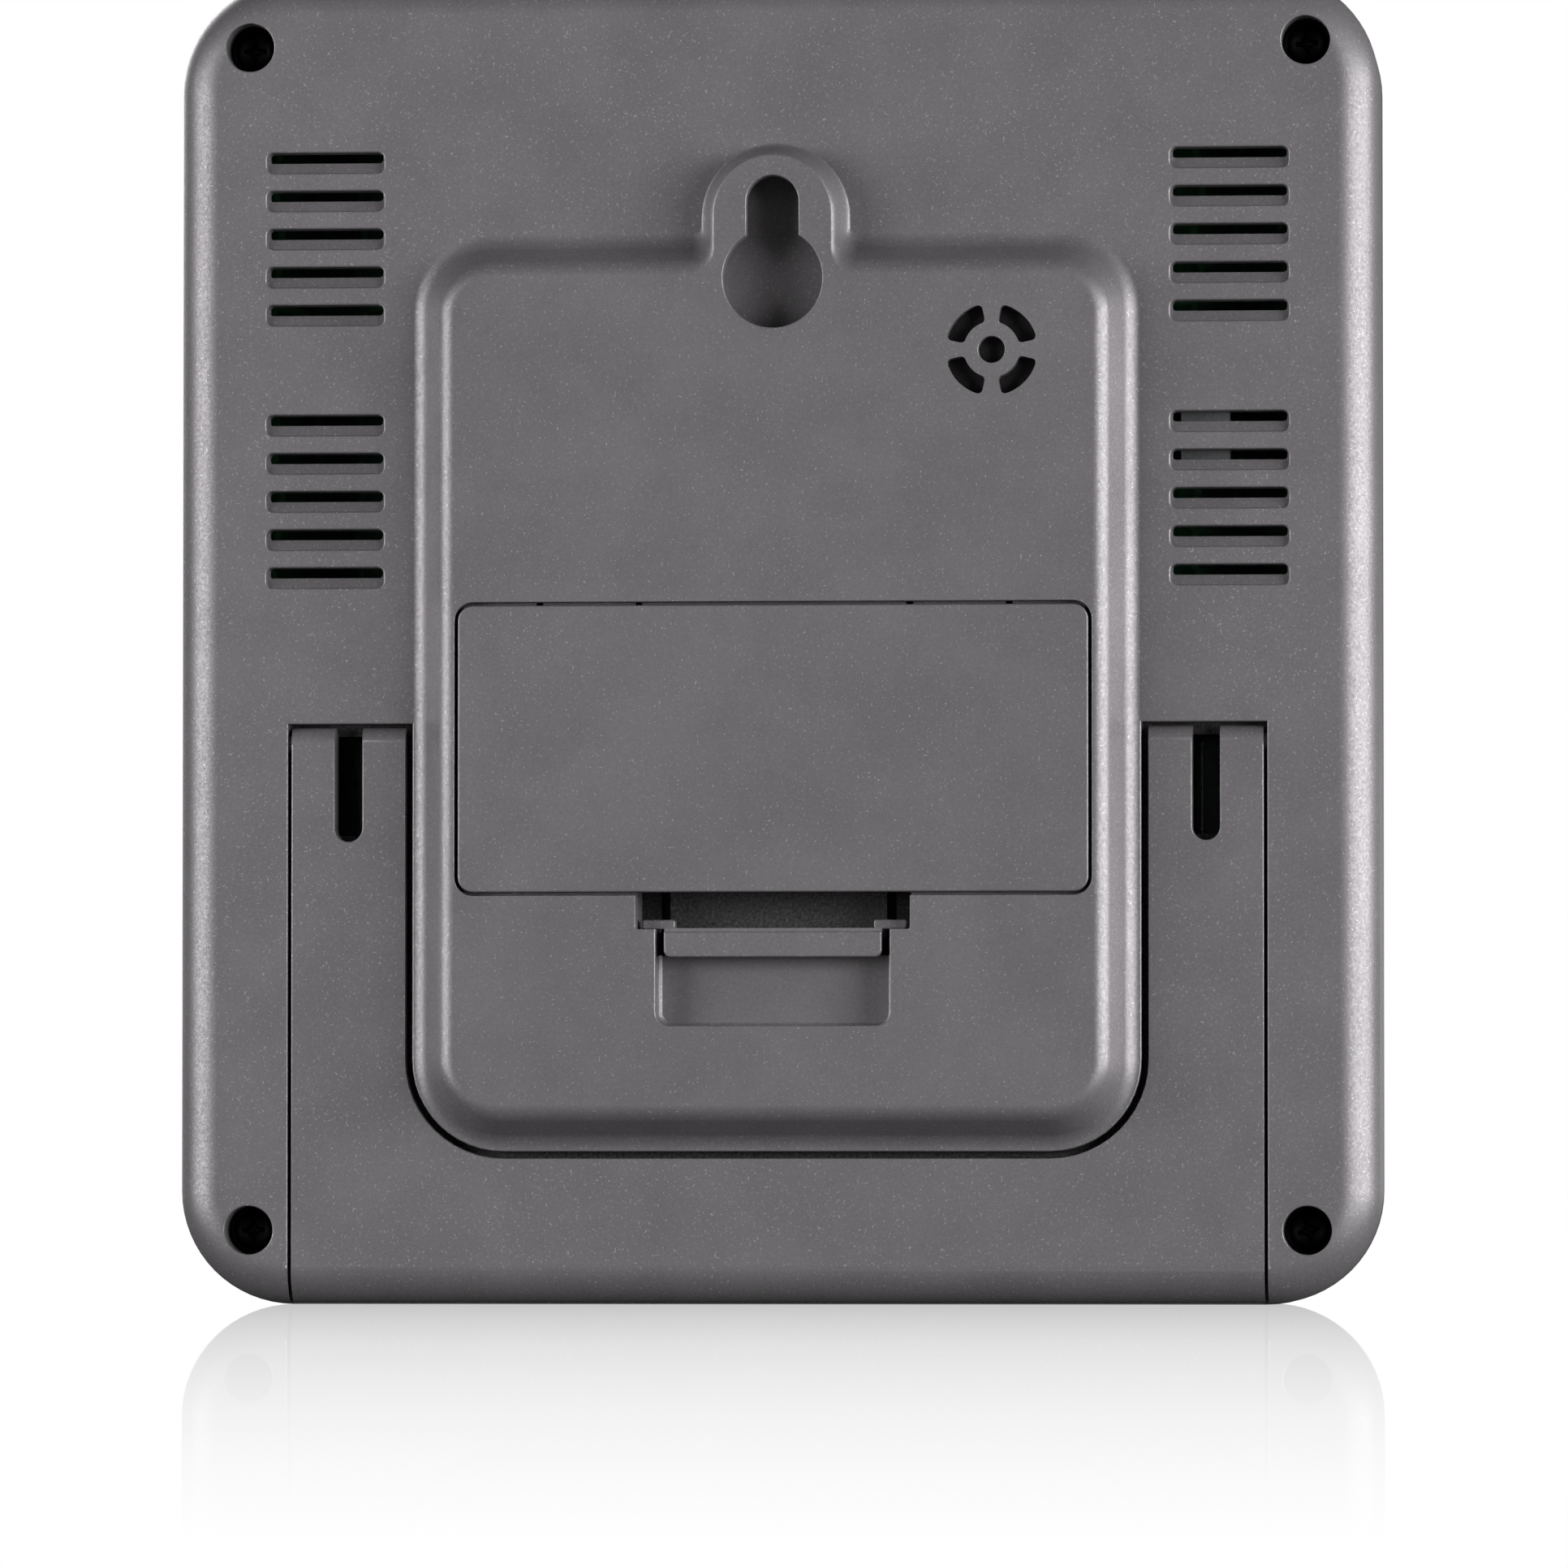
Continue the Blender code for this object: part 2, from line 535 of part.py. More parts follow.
def rear_cover(look):
    """The back shell: casing, raised centre, keyhole tab, cell tray and stand recess in one moulding."""
    half = WIDTH / 2
    inner = half - WALL
    cover = block("rear_cover", (-half, Y_SEAM + GAP, 0), (half, Y_REAR, HEIGHT), look,
                  corner=CORNER, steps=7, rear=REAR_ROUND)
    join(cover, block("boss", (-BOSS_HALF, Y_REAR - WALL / 2, BOSS_BOTTOM), (BOSS_HALF, Y_REAR, BOSS_TOP),
                      corner=BOSS_CORNER, steps=6, insets=BOSS_STEPS),
         hanger_tab())
    boss_inner = BOSS_HALF - BOSS_WALL_RUN + GAP
    foot = BOSS_BOTTOM + BOSS_WALL_RUN
    cut(cover,
        block("casing_room", (-inner, Y_SEAM - OVERRUN, WALL), (inner, Y_REAR - WALL, HEIGHT - WALL),
              corner=CORNER - WALL, steps=5),
        block("boss_room", (-boss_inner, Y_REAR - WALL - OVERRUN, foot), (boss_inner, Y_TOP - BOSS_SKIN,
              BOSS_TOP - BOSS_WALL_RUN), corner=0.003))
    skin = Y_TOP - BOSS_SKIN + GAP
    tray = DOOR_HALF - GAP
    latch_block = LATCH_SHOULDER_HALF + WALL
    hanger_side, hanger_under, hanger_over = HANGER_BLOCK
    hanger = HANGER_HALF_WIDTH - hanger_side
    backing = Y_STAND_FLOOR - GAP - STAND_BACKING
    join(cover,
         block("tray", (-POCKET_HALF - TRAY_WALL, Y_TRAY, DOOR_BOTTOM + 0.0016),
               (POCKET_HALF + TRAY_WALL, Y_TOP - DOOR_THICKNESS, DOOR_TOP + TAB_REACH + TRAY_TOP)),
         block("door_rim", (-tray, Y_TOP - DOOR_RIM_DEPTH, DOOR_BOTTOM - DOOR_RIM[0]),
               (tray, skin, DOOR_TOP + DOOR_RIM[1])),
         block("latch_block", (-latch_block, Y_LATCH - HANGER_BACK, DOOR_BOTTOM - FINGER_DROP[1] - POCKET_WALL),
               (latch_block, skin, DOOR_BOTTOM + DOOR_LIP)),
         block("hanger_block",
               (-hanger, Y_TOP - KEYHOLE_DEPTH - HANGER_BACK, KEYHOLE_Z - KEYHOLE_RADIUS - hanger_under),
               (hanger, Y_REAR + OVERRUN, BOSS_TOP + HANGER_RISE - hanger_over), corner=hanger * 0.9),
         block("stand_backing", (-STAND_HALF - WALL, backing, WALL / 2),
               (STAND_HALF + WALL, Y_REAR - WALL / 2 - GAP, STAND_TOP + WALL)))
    for index, (x, z) in enumerate(SCREW_SPOTS):
        tube = rod(f"screw_tube_{index}", POST_RADIUS + GAP, (x, Y_POST_END + GAP, z),
                   Y_REAR - WALL / 2 - Y_POST_END - GAP)
        join(cover, tube)
    cut(cover, stand_space("stand_room", GAP, Y_STAND_FLOOR - GAP, STAND_TOP))
    for side in (-1, 1):
        x = side * STAND_LEG_X
        cut(cover,
            block(f"snap_window_{side}",
                  (x - STAND_SLOT_HALF, backing - OVERRUN, STAND_TOP - STAND_SLOT_LENGTH),
                  (x + STAND_SLOT_HALF, Y_REAR - WALL / 2, STAND_TOP - OVERRUN)),
            rod(f"pin_hole_{side}", PIN_RADIUS + PIN_PLAY,
                (side * (STAND_HALF - GAP), STAND_AXIS.y, STAND_AXIS.z), PIN_LENGTH + 3 * GAP,
                "+X" if side > 0 else "-X", steps=16))
    for index, (x, z) in enumerate(SCREW_SPOTS):
        cut(cover, rod(f"screw_well_{index}", SCREW_WELL_RADIUS, (x, Y_WELL, z), SCREW_WELL_DEPTH + OVERRUN),
            rod(f"screw_way_{index}", SCREW_SHANK_RADIUS + GAP, (x, Y_POST_END - OVERRUN, z),
                Y_WELL - Y_POST_END + 2 * OVERRUN, steps=16))
    door_seat(cover)
    cut(cover, *keyhole_tools(), *grille_tools())
    cut(cover,
        vent_tool("vent_recesses", VENT_SIZE[0], 0.0, 1.0, Y_REAR - VENT_RECESS, Y_REAR + OVERRUN),
        vent_tool("vent_ways", VENT_SIZE[0] - 2 * GAP, *VENT_WAY, Y_REAR - WALL - OVERRUN,
                  Y_REAR - VENT_RECESS / 2))
    return cover


def front_bezel(look):
    """The front shell with the window's seat, the key holes and the screw posts."""
    half = WIDTH / 2
    inner = half - WALL
    bezel = block("front_bezel", (-half, Y_FACE, 0), (half, Y_SEAM, HEIGHT), look,
                  corner=CORNER, steps=7, front=FRONT_ROUND)
    cut(bezel, block("bezel_room", (-inner, Y_FACE + WALL, WALL), (inner, Y_SEAM + OVERRUN, HEIGHT - WALL),
                     corner=CORNER - WALL, steps=5))
    for index, (x, z) in enumerate(SCREW_SPOTS):
        join(bezel, rod(f"post_{index}", POST_RADIUS, (x, Y_FACE + WALL / 2, z),
                        Y_POST_END - Y_FACE - WALL / 2))
        cut(bezel, rod(f"post_bore_{index}", SCREW_SHANK_RADIUS + GAP, (x, Y_FACE + WALL + GAP, z),
                       Y_POST_END - Y_FACE, steps=16))
    for index, (x, z) in enumerate(BOARD_SCREW_SPOTS):
        join(bezel, rod(f"board_post_{index}", BOARD_POST_RADIUS, (x, Y_FACE + WALL / 2, z),
                        Y_BOARD_FRONT - GAP - Y_FACE - WALL / 2, steps=16))
        cut(bezel, rod(f"board_post_bore_{index}", BOARD_SCREW_SHANK + GAP, (x, Y_FACE + WALL + GAP, z),
                       Y_BOARD_FRONT - Y_FACE - WALL, steps=12))
    cut(bezel,
        block("window_seat", (-WINDOW_HALF - GAP, Y_FACE - OVERRUN, WINDOW_BOTTOM - GAP),
              (WINDOW_HALF + GAP, Y_WINDOW_SEAT, WINDOW_HIGH + GAP), corner=WINDOW_CORNER + GAP),
        block("view_opening", (-VIEW_HALF, Y_FACE - 2 * OVERRUN, WINDOW_BOTTOM + WINDOW_LEDGE),
              (VIEW_HALF, Y_FACE + WALL + OVERRUN, WINDOW_HIGH - WINDOW_LEDGE), corner=VIEW_CORNER, steps=3))
    for index, x in enumerate(KEY_X):
        grow = Vector((KEY_SIZE[0] / 2 + GAP, 0, KEY_SIZE[1] / 2 + GAP))
        cut(bezel, block(f"key_hole_{index}", Vector((x, Y_FACE - OVERRUN, KEY_Z)) - grow,
                         Vector((x, Y_FACE + WALL + OVERRUN, KEY_Z)) + grow, corner=KEY_CORNER + GAP, steps=3))
    return bezel


def display_window(look):
    return block("display_window", (-WINDOW_HALF, Y_WINDOW, WINDOW_BOTTOM),
                 (WINDOW_HALF, Y_WINDOW + WINDOW_THICKNESS, WINDOW_HIGH), look, corner=WINDOW_CORNER)


def cross_recess(screw, name, place, toward, reach, depth):
    """Cuts the two crossed driver slots into a screw's head."""
    for turn, (wide, tall) in enumerate(((reach, reach * 0.3), (reach * 0.3, reach))):
        way = 1 if toward == "+Y" else -1
        y_low, y_high = sorted((place[1] - way * depth, place[1] + way * depth))
        cut(screw, block(f"{name}_driver_{turn}", (place[0] - wide, y_low, place[2] - tall),
                         (place[0] + wide, y_high, place[2] + tall)))


def screw_piece(name, spot, y_seat, head, shank_radius, shank_length, look):
    """A pan-head screw whose head faces the back and rests just off its seat."""
    head_radius, head_height = head
    top = head_height
    profile = [(0, top), (head_radius * 0.6, top), (head_radius * 0.92, top * 0.72), (head_radius, top * 0.35),
               (head_radius, 0), (shank_radius, 0), (shank_radius, -shank_length * 0.85),
               (shank_radius * 0.3, -shank_length), (0, -shank_length)]
    screw = turned(name, profile, (spot[0], y_seat + GAP, spot[1]), "+Y", look, 20)
    face = (spot[0], y_seat + GAP + top, spot[1])
    cross_recess(screw, name, face, "+Y", head_radius * 0.55, head_height * 0.5)
    return screw


def kickstand(look):
    """The U-shaped stand: two legs beside the raised centre, a bar under it, and two pivot pins."""
    stand = block("kickstand", (-STAND_HALF, Y_STAND_FLOOR, -OVERRUN), (STAND_HALF, Y_REAR, STAND_AXIS.z), look)
    for side in (-1, 1):
        low, high = sorted((side * (BOSS_HALF + STAND_BOSS_GAP), side * STAND_HALF))
        join(stand, rod(f"leg_round_{side}", STAND_THICKNESS / 2, (low, STAND_AXIS.y, STAND_AXIS.z),
                        high - low, "+X", steps=20))
    cut(stand, boss_foot("stand_cut_out", STAND_BOSS_GAP, Y_STAND_FLOOR - OVERRUN, Y_REAR + OVERRUN),
        block("stand_foot_trim", (-WIDTH, Y_STAND_FLOOR - OVERRUN, -2 * OVERRUN),
              (WIDTH, Y_REAR + OVERRUN, STAND_LIFT)))
    outside = block("casing_outline", (-WIDTH / 2, Y_SEAM, 0), (WIDTH / 2, Y_REAR, HEIGHT),
                    corner=CORNER, steps=7, rear=REAR_ROUND)
    boolean(stand, "INTERSECT", [outside])
    for side in (-1, 1):
        x = side * STAND_LEG_X
        cut(stand, block(f"leg_slot_{side}", (x - STAND_SLOT_HALF, Y_STAND_FLOOR - OVERRUN,
                                              STAND_TOP - STAND_SLOT_LENGTH - STAND_SLOT_HALF / 2),
                         (x + STAND_SLOT_HALF, Y_REAR + OVERRUN, STAND_TOP + OVERRUN),
                         corner=STAND_SLOT_HALF - ROUND_END_FLAT, which="bottom"))
        join(stand, rod(f"pivot_pin_{side}", PIN_RADIUS,
                        (side * (STAND_HALF - GAP), STAND_AXIS.y, STAND_AXIS.z), PIN_LENGTH + GAP,
                        "+X" if side > 0 else "-X", steps=16))
    pivot("kickstand_pivot", STAND_AXIS, stand)
    return stand


# --- battery door, latch, cells and contacts -------------------------------------------------------------
def battery_door(look):
    """The door with its two tabs at the top and the inner leg of the latch's U-bend at the bottom."""
    under = Y_TOP - DOOR_THICKNESS
    door = block("battery_door", (-DOOR_HALF, under, DOOR_BOTTOM), (DOOR_HALF, Y_TOP, DOOR_TOP), look,
                 corner=DOOR_CORNER)
    for side in (-1, 1):
        x_low, x_high = sorted((side * TAB_X[0], side * TAB_X[1]))
        tab_top = under - GAP
        join(door,
             block(f"tab_root_{side}", (x_low, tab_top - TAB_THICKNESS, DOOR_TOP - 0.002),
                   (x_high, under + GAP, DOOR_TOP - 0.0007)),
             block(f"tab_{side}", (x_low, tab_top - TAB_THICKNESS, DOOR_TOP - 0.001),
                   (x_high, tab_top, DOOR_TOP + TAB_REACH)))
    join(door, block("door_leg", (-LATCH_HALF_WIDTH, LATCH_AXIS.y + GAP, DOOR_BOTTOM + 0.0001),
                     (LATCH_HALF_WIDTH, under + GAP, DOOR_BOTTOM + 0.0001 + LATCH_THICKNESS)))
    return door


def battery_door_latch(look):
    """The springy outer leg of the U-bend with its shoulders and thumb lip."""
    bend = block("battery_door_latch", (-LATCH_HALF_WIDTH, Y_LATCH, LATCH_LEG_BOTTOM),
                 (LATCH_HALF_WIDTH, Y_LATCH + LATCH_THICKNESS, DOOR_BOTTOM + 0.0001 + LATCH_THICKNESS), look)
    lip_height, lip_thickness = LATCH_LIP
    lip_low = LATCH_LEG_BOTTOM + LATCH_LIP_RISE - lip_height
    y_rib_low, y_rib_high = Y_TOP - LATCH_RIB[0], Y_TOP - LATCH_RIB[1]
    shoulder_low, shoulder_high = LATCH_TOP + LATCH_SHOULDER[0], LATCH_TOP + LATCH_SHOULDER[1]
    join(bend,
         block("latch_leg", (-LATCH_HALF_WIDTH, Y_LATCH + GAP, LATCH_LEG_BOTTOM),
               (LATCH_HALF_WIDTH, Y_LATCH_LIP - lip_thickness / 2, LATCH_TOP)),
         block("latch_lip", (-LATCH_HALF_WIDTH, Y_LATCH_LIP - lip_thickness, lip_low),
               (LATCH_HALF_WIDTH, Y_LATCH_LIP, lip_low + lip_height), corner=LATCH_LIP_CORNER,
               which="bottom", steps=3),
         block("latch_rib", (-LATCH_HALF_WIDTH, y_rib_low, LATCH_TOP - GAP),
               (LATCH_HALF_WIDTH, y_rib_high, LATCH_TOP + OVERRUN)),
         block("latch_shoulders", (-LATCH_SHOULDER_HALF, y_rib_low + GAP / 3, shoulder_low),
               (LATCH_SHOULDER_HALF, y_rib_high - GAP / 3, shoulder_high)))
    return bend


def battery_cell(name, z, nub_side, look):
    """A cylindrical cell with its nub to one side."""
    nub_radius, nub_height = CELL_NUB
    can = CELL_LENGTH - nub_height
    edge = 0.0004
    profile = [(0, CELL_LENGTH), (nub_radius * 0.9, CELL_LENGTH), (nub_radius, CELL_LENGTH - edge / 2),
               (nub_radius, can), (CELL_RADIUS - edge, can), (CELL_RADIUS, can - edge), (CELL_RADIUS, edge),
               (CELL_RADIUS - edge, 0), (0, 0)]
    shift = POCKET_HALF - CONTACT_THICKNESS - 3 * GAP - CELL_LENGTH
    toward = "+X" if nub_side > 0 else "-X"
    return turned(name, profile, (nub_side * shift, Y_CELL, z), toward, look, 28)


def contact(name, side, spring_z, button_z, look):
    """A contact plate on one end wall, with a coil spring, a raised button, or both."""
    zs = [z for z in (spring_z, button_z) if z is not None]
    face = POCKET_HALF - GAP
    x_low, x_high = sorted((side * face, side * (face - CONTACT_THICKNESS)))
    half = CELL_RADIUS - CONTACT_EDGE
    plate = block(name, (x_low, Y_CELL - half, min(zs) - half), (x_high, Y_CELL + half, max(zs) + half), look)
    tail_z = zs[0]
    tail_low, tail_high = sorted((side * (face - CONTACT_THICKNESS), side * (face + TAIL_REACH)))
    z_low, z_high = tail_z - TAIL_HALF_WIDTH, tail_z + TAIL_HALF_WIDTH
    join(plate,
         block(name + "_neck", (x_low, TAIL_Y, z_low), (x_high, Y_CELL, z_high)),
         block(name + "_tail", (tail_low, TAIL_Y, z_low), (tail_high, TAIL_Y + CONTACT_THICKNESS, z_high)))
    inner = face - CONTACT_THICKNESS
    if spring_z is not None:
        per_turn = 12
        first_radius, last_radius = SPRING_RADII
        reach = 2 * POCKET_HALF - CELL_LENGTH - 2 * CONTACT_THICKNESS - 6 * GAP
        points = []
        for index in range(SPRING_TURNS * per_turn + 1):
            share = index / (SPRING_TURNS * per_turn)
            turn = 2 * pi * index / per_turn
            radius = first_radius + (last_radius - first_radius) * share
            x = side * (inner + SPRING_WIRE * 0.5 - share * reach)
            points.append((x, Y_CELL + radius * cos(turn), spring_z + radius * sin(turn)))
        join(plate, to_mesh(wire(name + "_spring", points, SPRING_WIRE, None)))
    if button_z is not None:
        join(plate, rod(name + "_button", BUTTON_RADIUS, (side * (inner + GAP), Y_CELL, button_z),
                        GAP * 1.7, "-X" if side > 0 else "+X", steps=12))
    return plate


def lead(name, start, end, look):
    """A thin insulated lead in a smooth bow between two ends."""
    start, end = Vector(start), Vector(end)
    sideways = Vector((end.x - start.x, 0, end.z - start.z)) * 0.35
    points = smooth_run((start, start + sideways, end + Vector((0, LEAD_BOW, 0)), end), 8)
    return wire(name, points, LEAD_RADIUS, look)


# --- display, board and keys ----------------------------------------------------------------------------
def display_stack(looks):
    block("lcd_panel", (-LCD_HALF, Y_LCD, LCD_LOW), (LCD_HALF, Y_LCD_REAR, LCD_HIGH), looks["lcd"])
    low = Y_LCD_REAR + GAP
    high = Y_BOARD_FRONT - GAP
    zebra_side, zebra_foot, zebra_head = ZEBRA_INSETS
    zebra_half = LCD_HALF - zebra_side
    zebra_high = LCD_LOW + zebra_head
    block("zebra_strip", (-zebra_half, low, LCD_LOW + zebra_foot), (zebra_half, high, zebra_high),
          looks["zebra"])
    guide_half = LCD_HALF - GUIDE_INSET
    guide_low = zebra_high + zebra_foot
    block("backlight_guide", (-guide_half, low, guide_low), (guide_half, high, LCD_HIGH), looks["guide"])
    middle = (LCD_LOW + LCD_HIGH) / 2
    block("backlight_led", (guide_half + GAP, low + GAP / 2, middle - LED_SIZE[1] / 2),
          (guide_half + LED_SIZE[0], high, middle + LED_SIZE[1] / 2), looks["led"])


def main_board(look):
    board = block("main_board", (-BOARD_HALF, Y_BOARD_FRONT, BOARD_BOTTOM),
                  (BOARD_HALF, Y_BOARD_REAR, BOARD_TOP), look, corner=BOARD_CORNER, steps=2)
    for index, (x, z) in enumerate(BOARD_SCREW_SPOTS):
        cut(board, rod(f"board_hole_{index}", BOARD_SCREW_SHANK + GAP, (x, Y_BOARD_FRONT - OVERRUN, z),
                       BOARD_THICKNESS + 2 * OVERRUN, steps=12))
    return board


def key(number, x, looks):
    """One key: its cap with a flange behind the bezel, the switch's plunger, and the switch body."""
    half_x, half_z = KEY_SIZE[0] / 2, KEY_SIZE[1] / 2
    cap = block(f"key_cap_{number}", (x - half_x, Y_KEYS, KEY_Z - half_z),
                (x + half_x, Y_KEY_BACK, KEY_Z + half_z), looks["key"], corner=KEY_CORNER, steps=3)
    join(cap, block(f"key_flange_{number}",
                    (x - half_x - KEY_FLANGE, Y_KEY_BACK - KEY_FLANGE_THICKNESS, KEY_Z - half_z - KEY_FLANGE),
                    (x + half_x + KEY_FLANGE, Y_KEY_BACK + HAIR / 3, KEY_Z + half_z + KEY_FLANGE)))
    floor = Y_BOARD_FRONT - GAP * 2
    body = block(f"key_switch_{number}", (x - SWITCH_SIZE / 2, Y_SWITCH, KEY_Z - SWITCH_SIZE / 2),
                 (x + SWITCH_SIZE / 2, Y_BOARD_FRONT - GAP, KEY_Z + SWITCH_SIZE / 2), looks["switch"])
    cut(body, rod(f"switch_bore_{number}", PLUNGER_RADIUS + GAP, (x, Y_SWITCH - OVERRUN, KEY_Z),
                  floor - Y_SWITCH + OVERRUN, steps=16))
    start = Y_KEY_BACK + GAP
    length = floor - KEY_TRAVEL - GAP / 3 - start
    plunger = rod(f"key_plunger_{number}", PLUNGER_RADIUS, (x, start, KEY_Z), length,
                  look=looks["plunger"], steps=16)
    pivot(f"key_slide_{number}", (x, Y_KEYS, KEY_Z), cap, plunger)


def board_parts(looks):
    """The chip under its drop of resin, the crystal, the buzzer and the air sensor."""
    surface = Y_BOARD_REAR + GAP
    dome = [(0, 0.0016), (0.0022, 0.0015), (0.0041, 0.0011), (0.0054, 0.0005), (0.0058, 0), (0, 0)]
    turned("controller_chip", dome, (CHIP_X, surface, CHIP_Z), "+Y", looks["resin"], 24)
    r = CRYSTAL_RADIUS
    can = [(0, 6.2 * r), (0.8 * r, 6.2 * r), (r, 6 * r), (r, 0.2 * r), (0.8 * r, 0), (0, 0)]
    turned("clock_crystal", can, (CRYSTAL_X, surface + 1.1 * r, CHIP_Z), "+X", looks["steel"], 14)
    buzzer = [(0, 0), (0.0012, 0), (0.0012, -0.0006), (0.0016, -0.0006), (0.0016, 0),
              (BUZZER_RADIUS - 0.0004, 0), (BUZZER_RADIUS, -0.0004), (BUZZER_RADIUS, -BUZZER_HEIGHT),
              (0, -BUZZER_HEIGHT)]
    turned("buzzer", buzzer, (GRILLE_X, Y_BUZZER, GRILLE_Z), "+Y", looks["black"], 28)
    x = -(WIDTH / 2 - VENT_SIDE_INSET) + SENSOR_SHIFT[0]
    z = HEIGHT - VENT_TOP_INSETS[1] + SENSOR_SHIFT[1]
    y = Y_REAR - WALL - SENSOR_WALL_GAP
    wide, deep, tall = SENSOR_SIZE
    apart, leg = SENSOR_LEGS
    sensor = block("climate_sensor", (x - wide / 2, y - deep, z - tall / 2), (x + wide / 2, y, z + tall / 2),
                   looks["sensor"], corner=wide / 10, steps=2)
    for side in (-1, 1):
        join(sensor, block(f"sensor_leg_{side}", (x + side * apart - leg, surface, z - leg),
                           (x + side * apart + leg, y - deep / 2, z + leg)))


def leads(looks):
    """The cells' leads run from the contact tails, the buzzer's from its rim, all to the board."""
    reach = POCKET_HALF - GAP + TAIL_REACH + LEAD_RADIUS
    tail_y = TAIL_Y + CONTACT_THICKNESS / 2
    end_y = Y_BOARD_REAR + GAP + LEAD_RADIUS
    for name, z, drop in (("battery_lead_red", CELL_Z[0], 0.005), ("battery_lead_black", CELL_Z[1], -0.005)):
        lead(name, (reach + GAP, tail_y, z), (reach + 0.005, end_y, z + drop), looks[name.split("_")[-1]])
    rim = Y_BUZZER - BUZZER_HEIGHT - GAP - LEAD_RADIUS
    for name, shift in (("buzzer_lead_red", 0.0012), ("buzzer_lead_black", -0.0012)):
        lead(name, (GRILLE_X + shift, rim, GRILLE_Z - 0.004), (GRILLE_X + shift * 3, end_y, GRILLE_Z - 0.012),
             looks[name.split("_")[-1]])


def all_looks():
    return {
        "grey": material("grey_plastic", (0.155, 0.147, 0.155), 0.42, 0.25),
        "bezel": material("bezel_plastic", (0.150, 0.143, 0.150), 0.42, 0.25),
        "window": material("clear_window", (0.02, 0.022, 0.025), 0.05),
        "lcd": material("lcd_glass", (0.46, 0.50, 0.44), 0.2),
        "zebra": material("zebra_rubber", (0.72, 0.45, 0.50), 0.7),
        "guide": material("light_guide", (0.90, 0.92, 0.95), 0.3),
        "led": material("led_body", (0.92, 0.90, 0.80), 0.4),
        "board": material("board_laminate", (0.03, 0.20, 0.08), 0.5),
        "resin": material("chip_resin", (0.02, 0.02, 0.02), 0.3),
        "steel": material("nickel_steel", (0.62, 0.61, 0.58), 0.3, 1.0),
        "screw": material("black_screw", (0.025, 0.024, 0.026), 0.4, 0.6),
        "black": material("black_plastic", (0.02, 0.02, 0.02), 0.5),
        "sensor": material("sensor_body", (0.34, 0.35, 0.36), 0.5),
        "cell": material("cell_jacket", (0.12, 0.13, 0.14), 0.35, 0.3),
        "red": material("red_sleeve", (0.55, 0.03, 0.03), 0.5),
        "key": material("key_plastic", (0.13, 0.125, 0.13), 0.45, 0.1),
        "plunger": material("plunger_plastic", (0.03, 0.03, 0.03), 0.5),
        "switch": material("switch_body", (0.08, 0.08, 0.085), 0.5),
    }


def build():
    clear_scene()
    looks = all_looks()
    contact("battery_bridge_contact", -1, CELL_Z[0], CELL_Z[1], looks["steel"])
    contact("battery_positive_contact", 1, None, CELL_Z[0], looks["steel"])
    contact("battery_negative_contact", 1, CELL_Z[1], None, looks["steel"])
    rear_cover(looks["grey"])
    front_bezel(looks["bezel"])
    display_window(looks["window"])
    for number, spot in enumerate(SCREW_SPOTS, 1):
        screw_piece(f"housing_screw_{number}", spot, Y_WELL, SCREW_HEAD, SCREW_SHANK_RADIUS, SCREW_SHANK_LENGTH,
                    looks["screw"])
    kickstand(looks["grey"])
    door = battery_door(looks["grey"])
    latch = battery_door_latch(looks["grey"])
    pivot("battery_door_pivot", DOOR_AXIS, door)
    pivot("battery_door_latch_pivot", LATCH_AXIS, latch)
    battery_cell("battery_cell_1", CELL_Z[0], 1, looks["cell"])
    battery_cell("battery_cell_2", CELL_Z[1], -1, looks["cell"])
    display_stack(looks)
    main_board(looks["board"])
    for number, spot in enumerate(BOARD_SCREW_SPOTS, 1):
        screw_piece(f"board_screw_{number}", spot, Y_BOARD_REAR, BOARD_SCREW_HEAD, BOARD_SCREW_SHANK,
                    BOARD_SCREW_LENGTH, looks["steel"])
    board_parts(looks)
    for number, x in enumerate(KEY_X, 1):
        key(number, x, looks)
    leads(looks)


build()
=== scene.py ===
# %% [markdown]
# # The back of a small digital clock
# This lesson builds the finished look of a battery-powered wall and desk clock around its working model.
# The working model says where every piece is and how it moves. Here each shell gets its fine edges, its
# spark-eroded plastic, and the small parts that can be seen through its openings.

# %% Load the working model
import json
from math import cos, pi, radians, sin, sqrt, tan

import bmesh
import bpy
from mathutils import Matrix, Vector


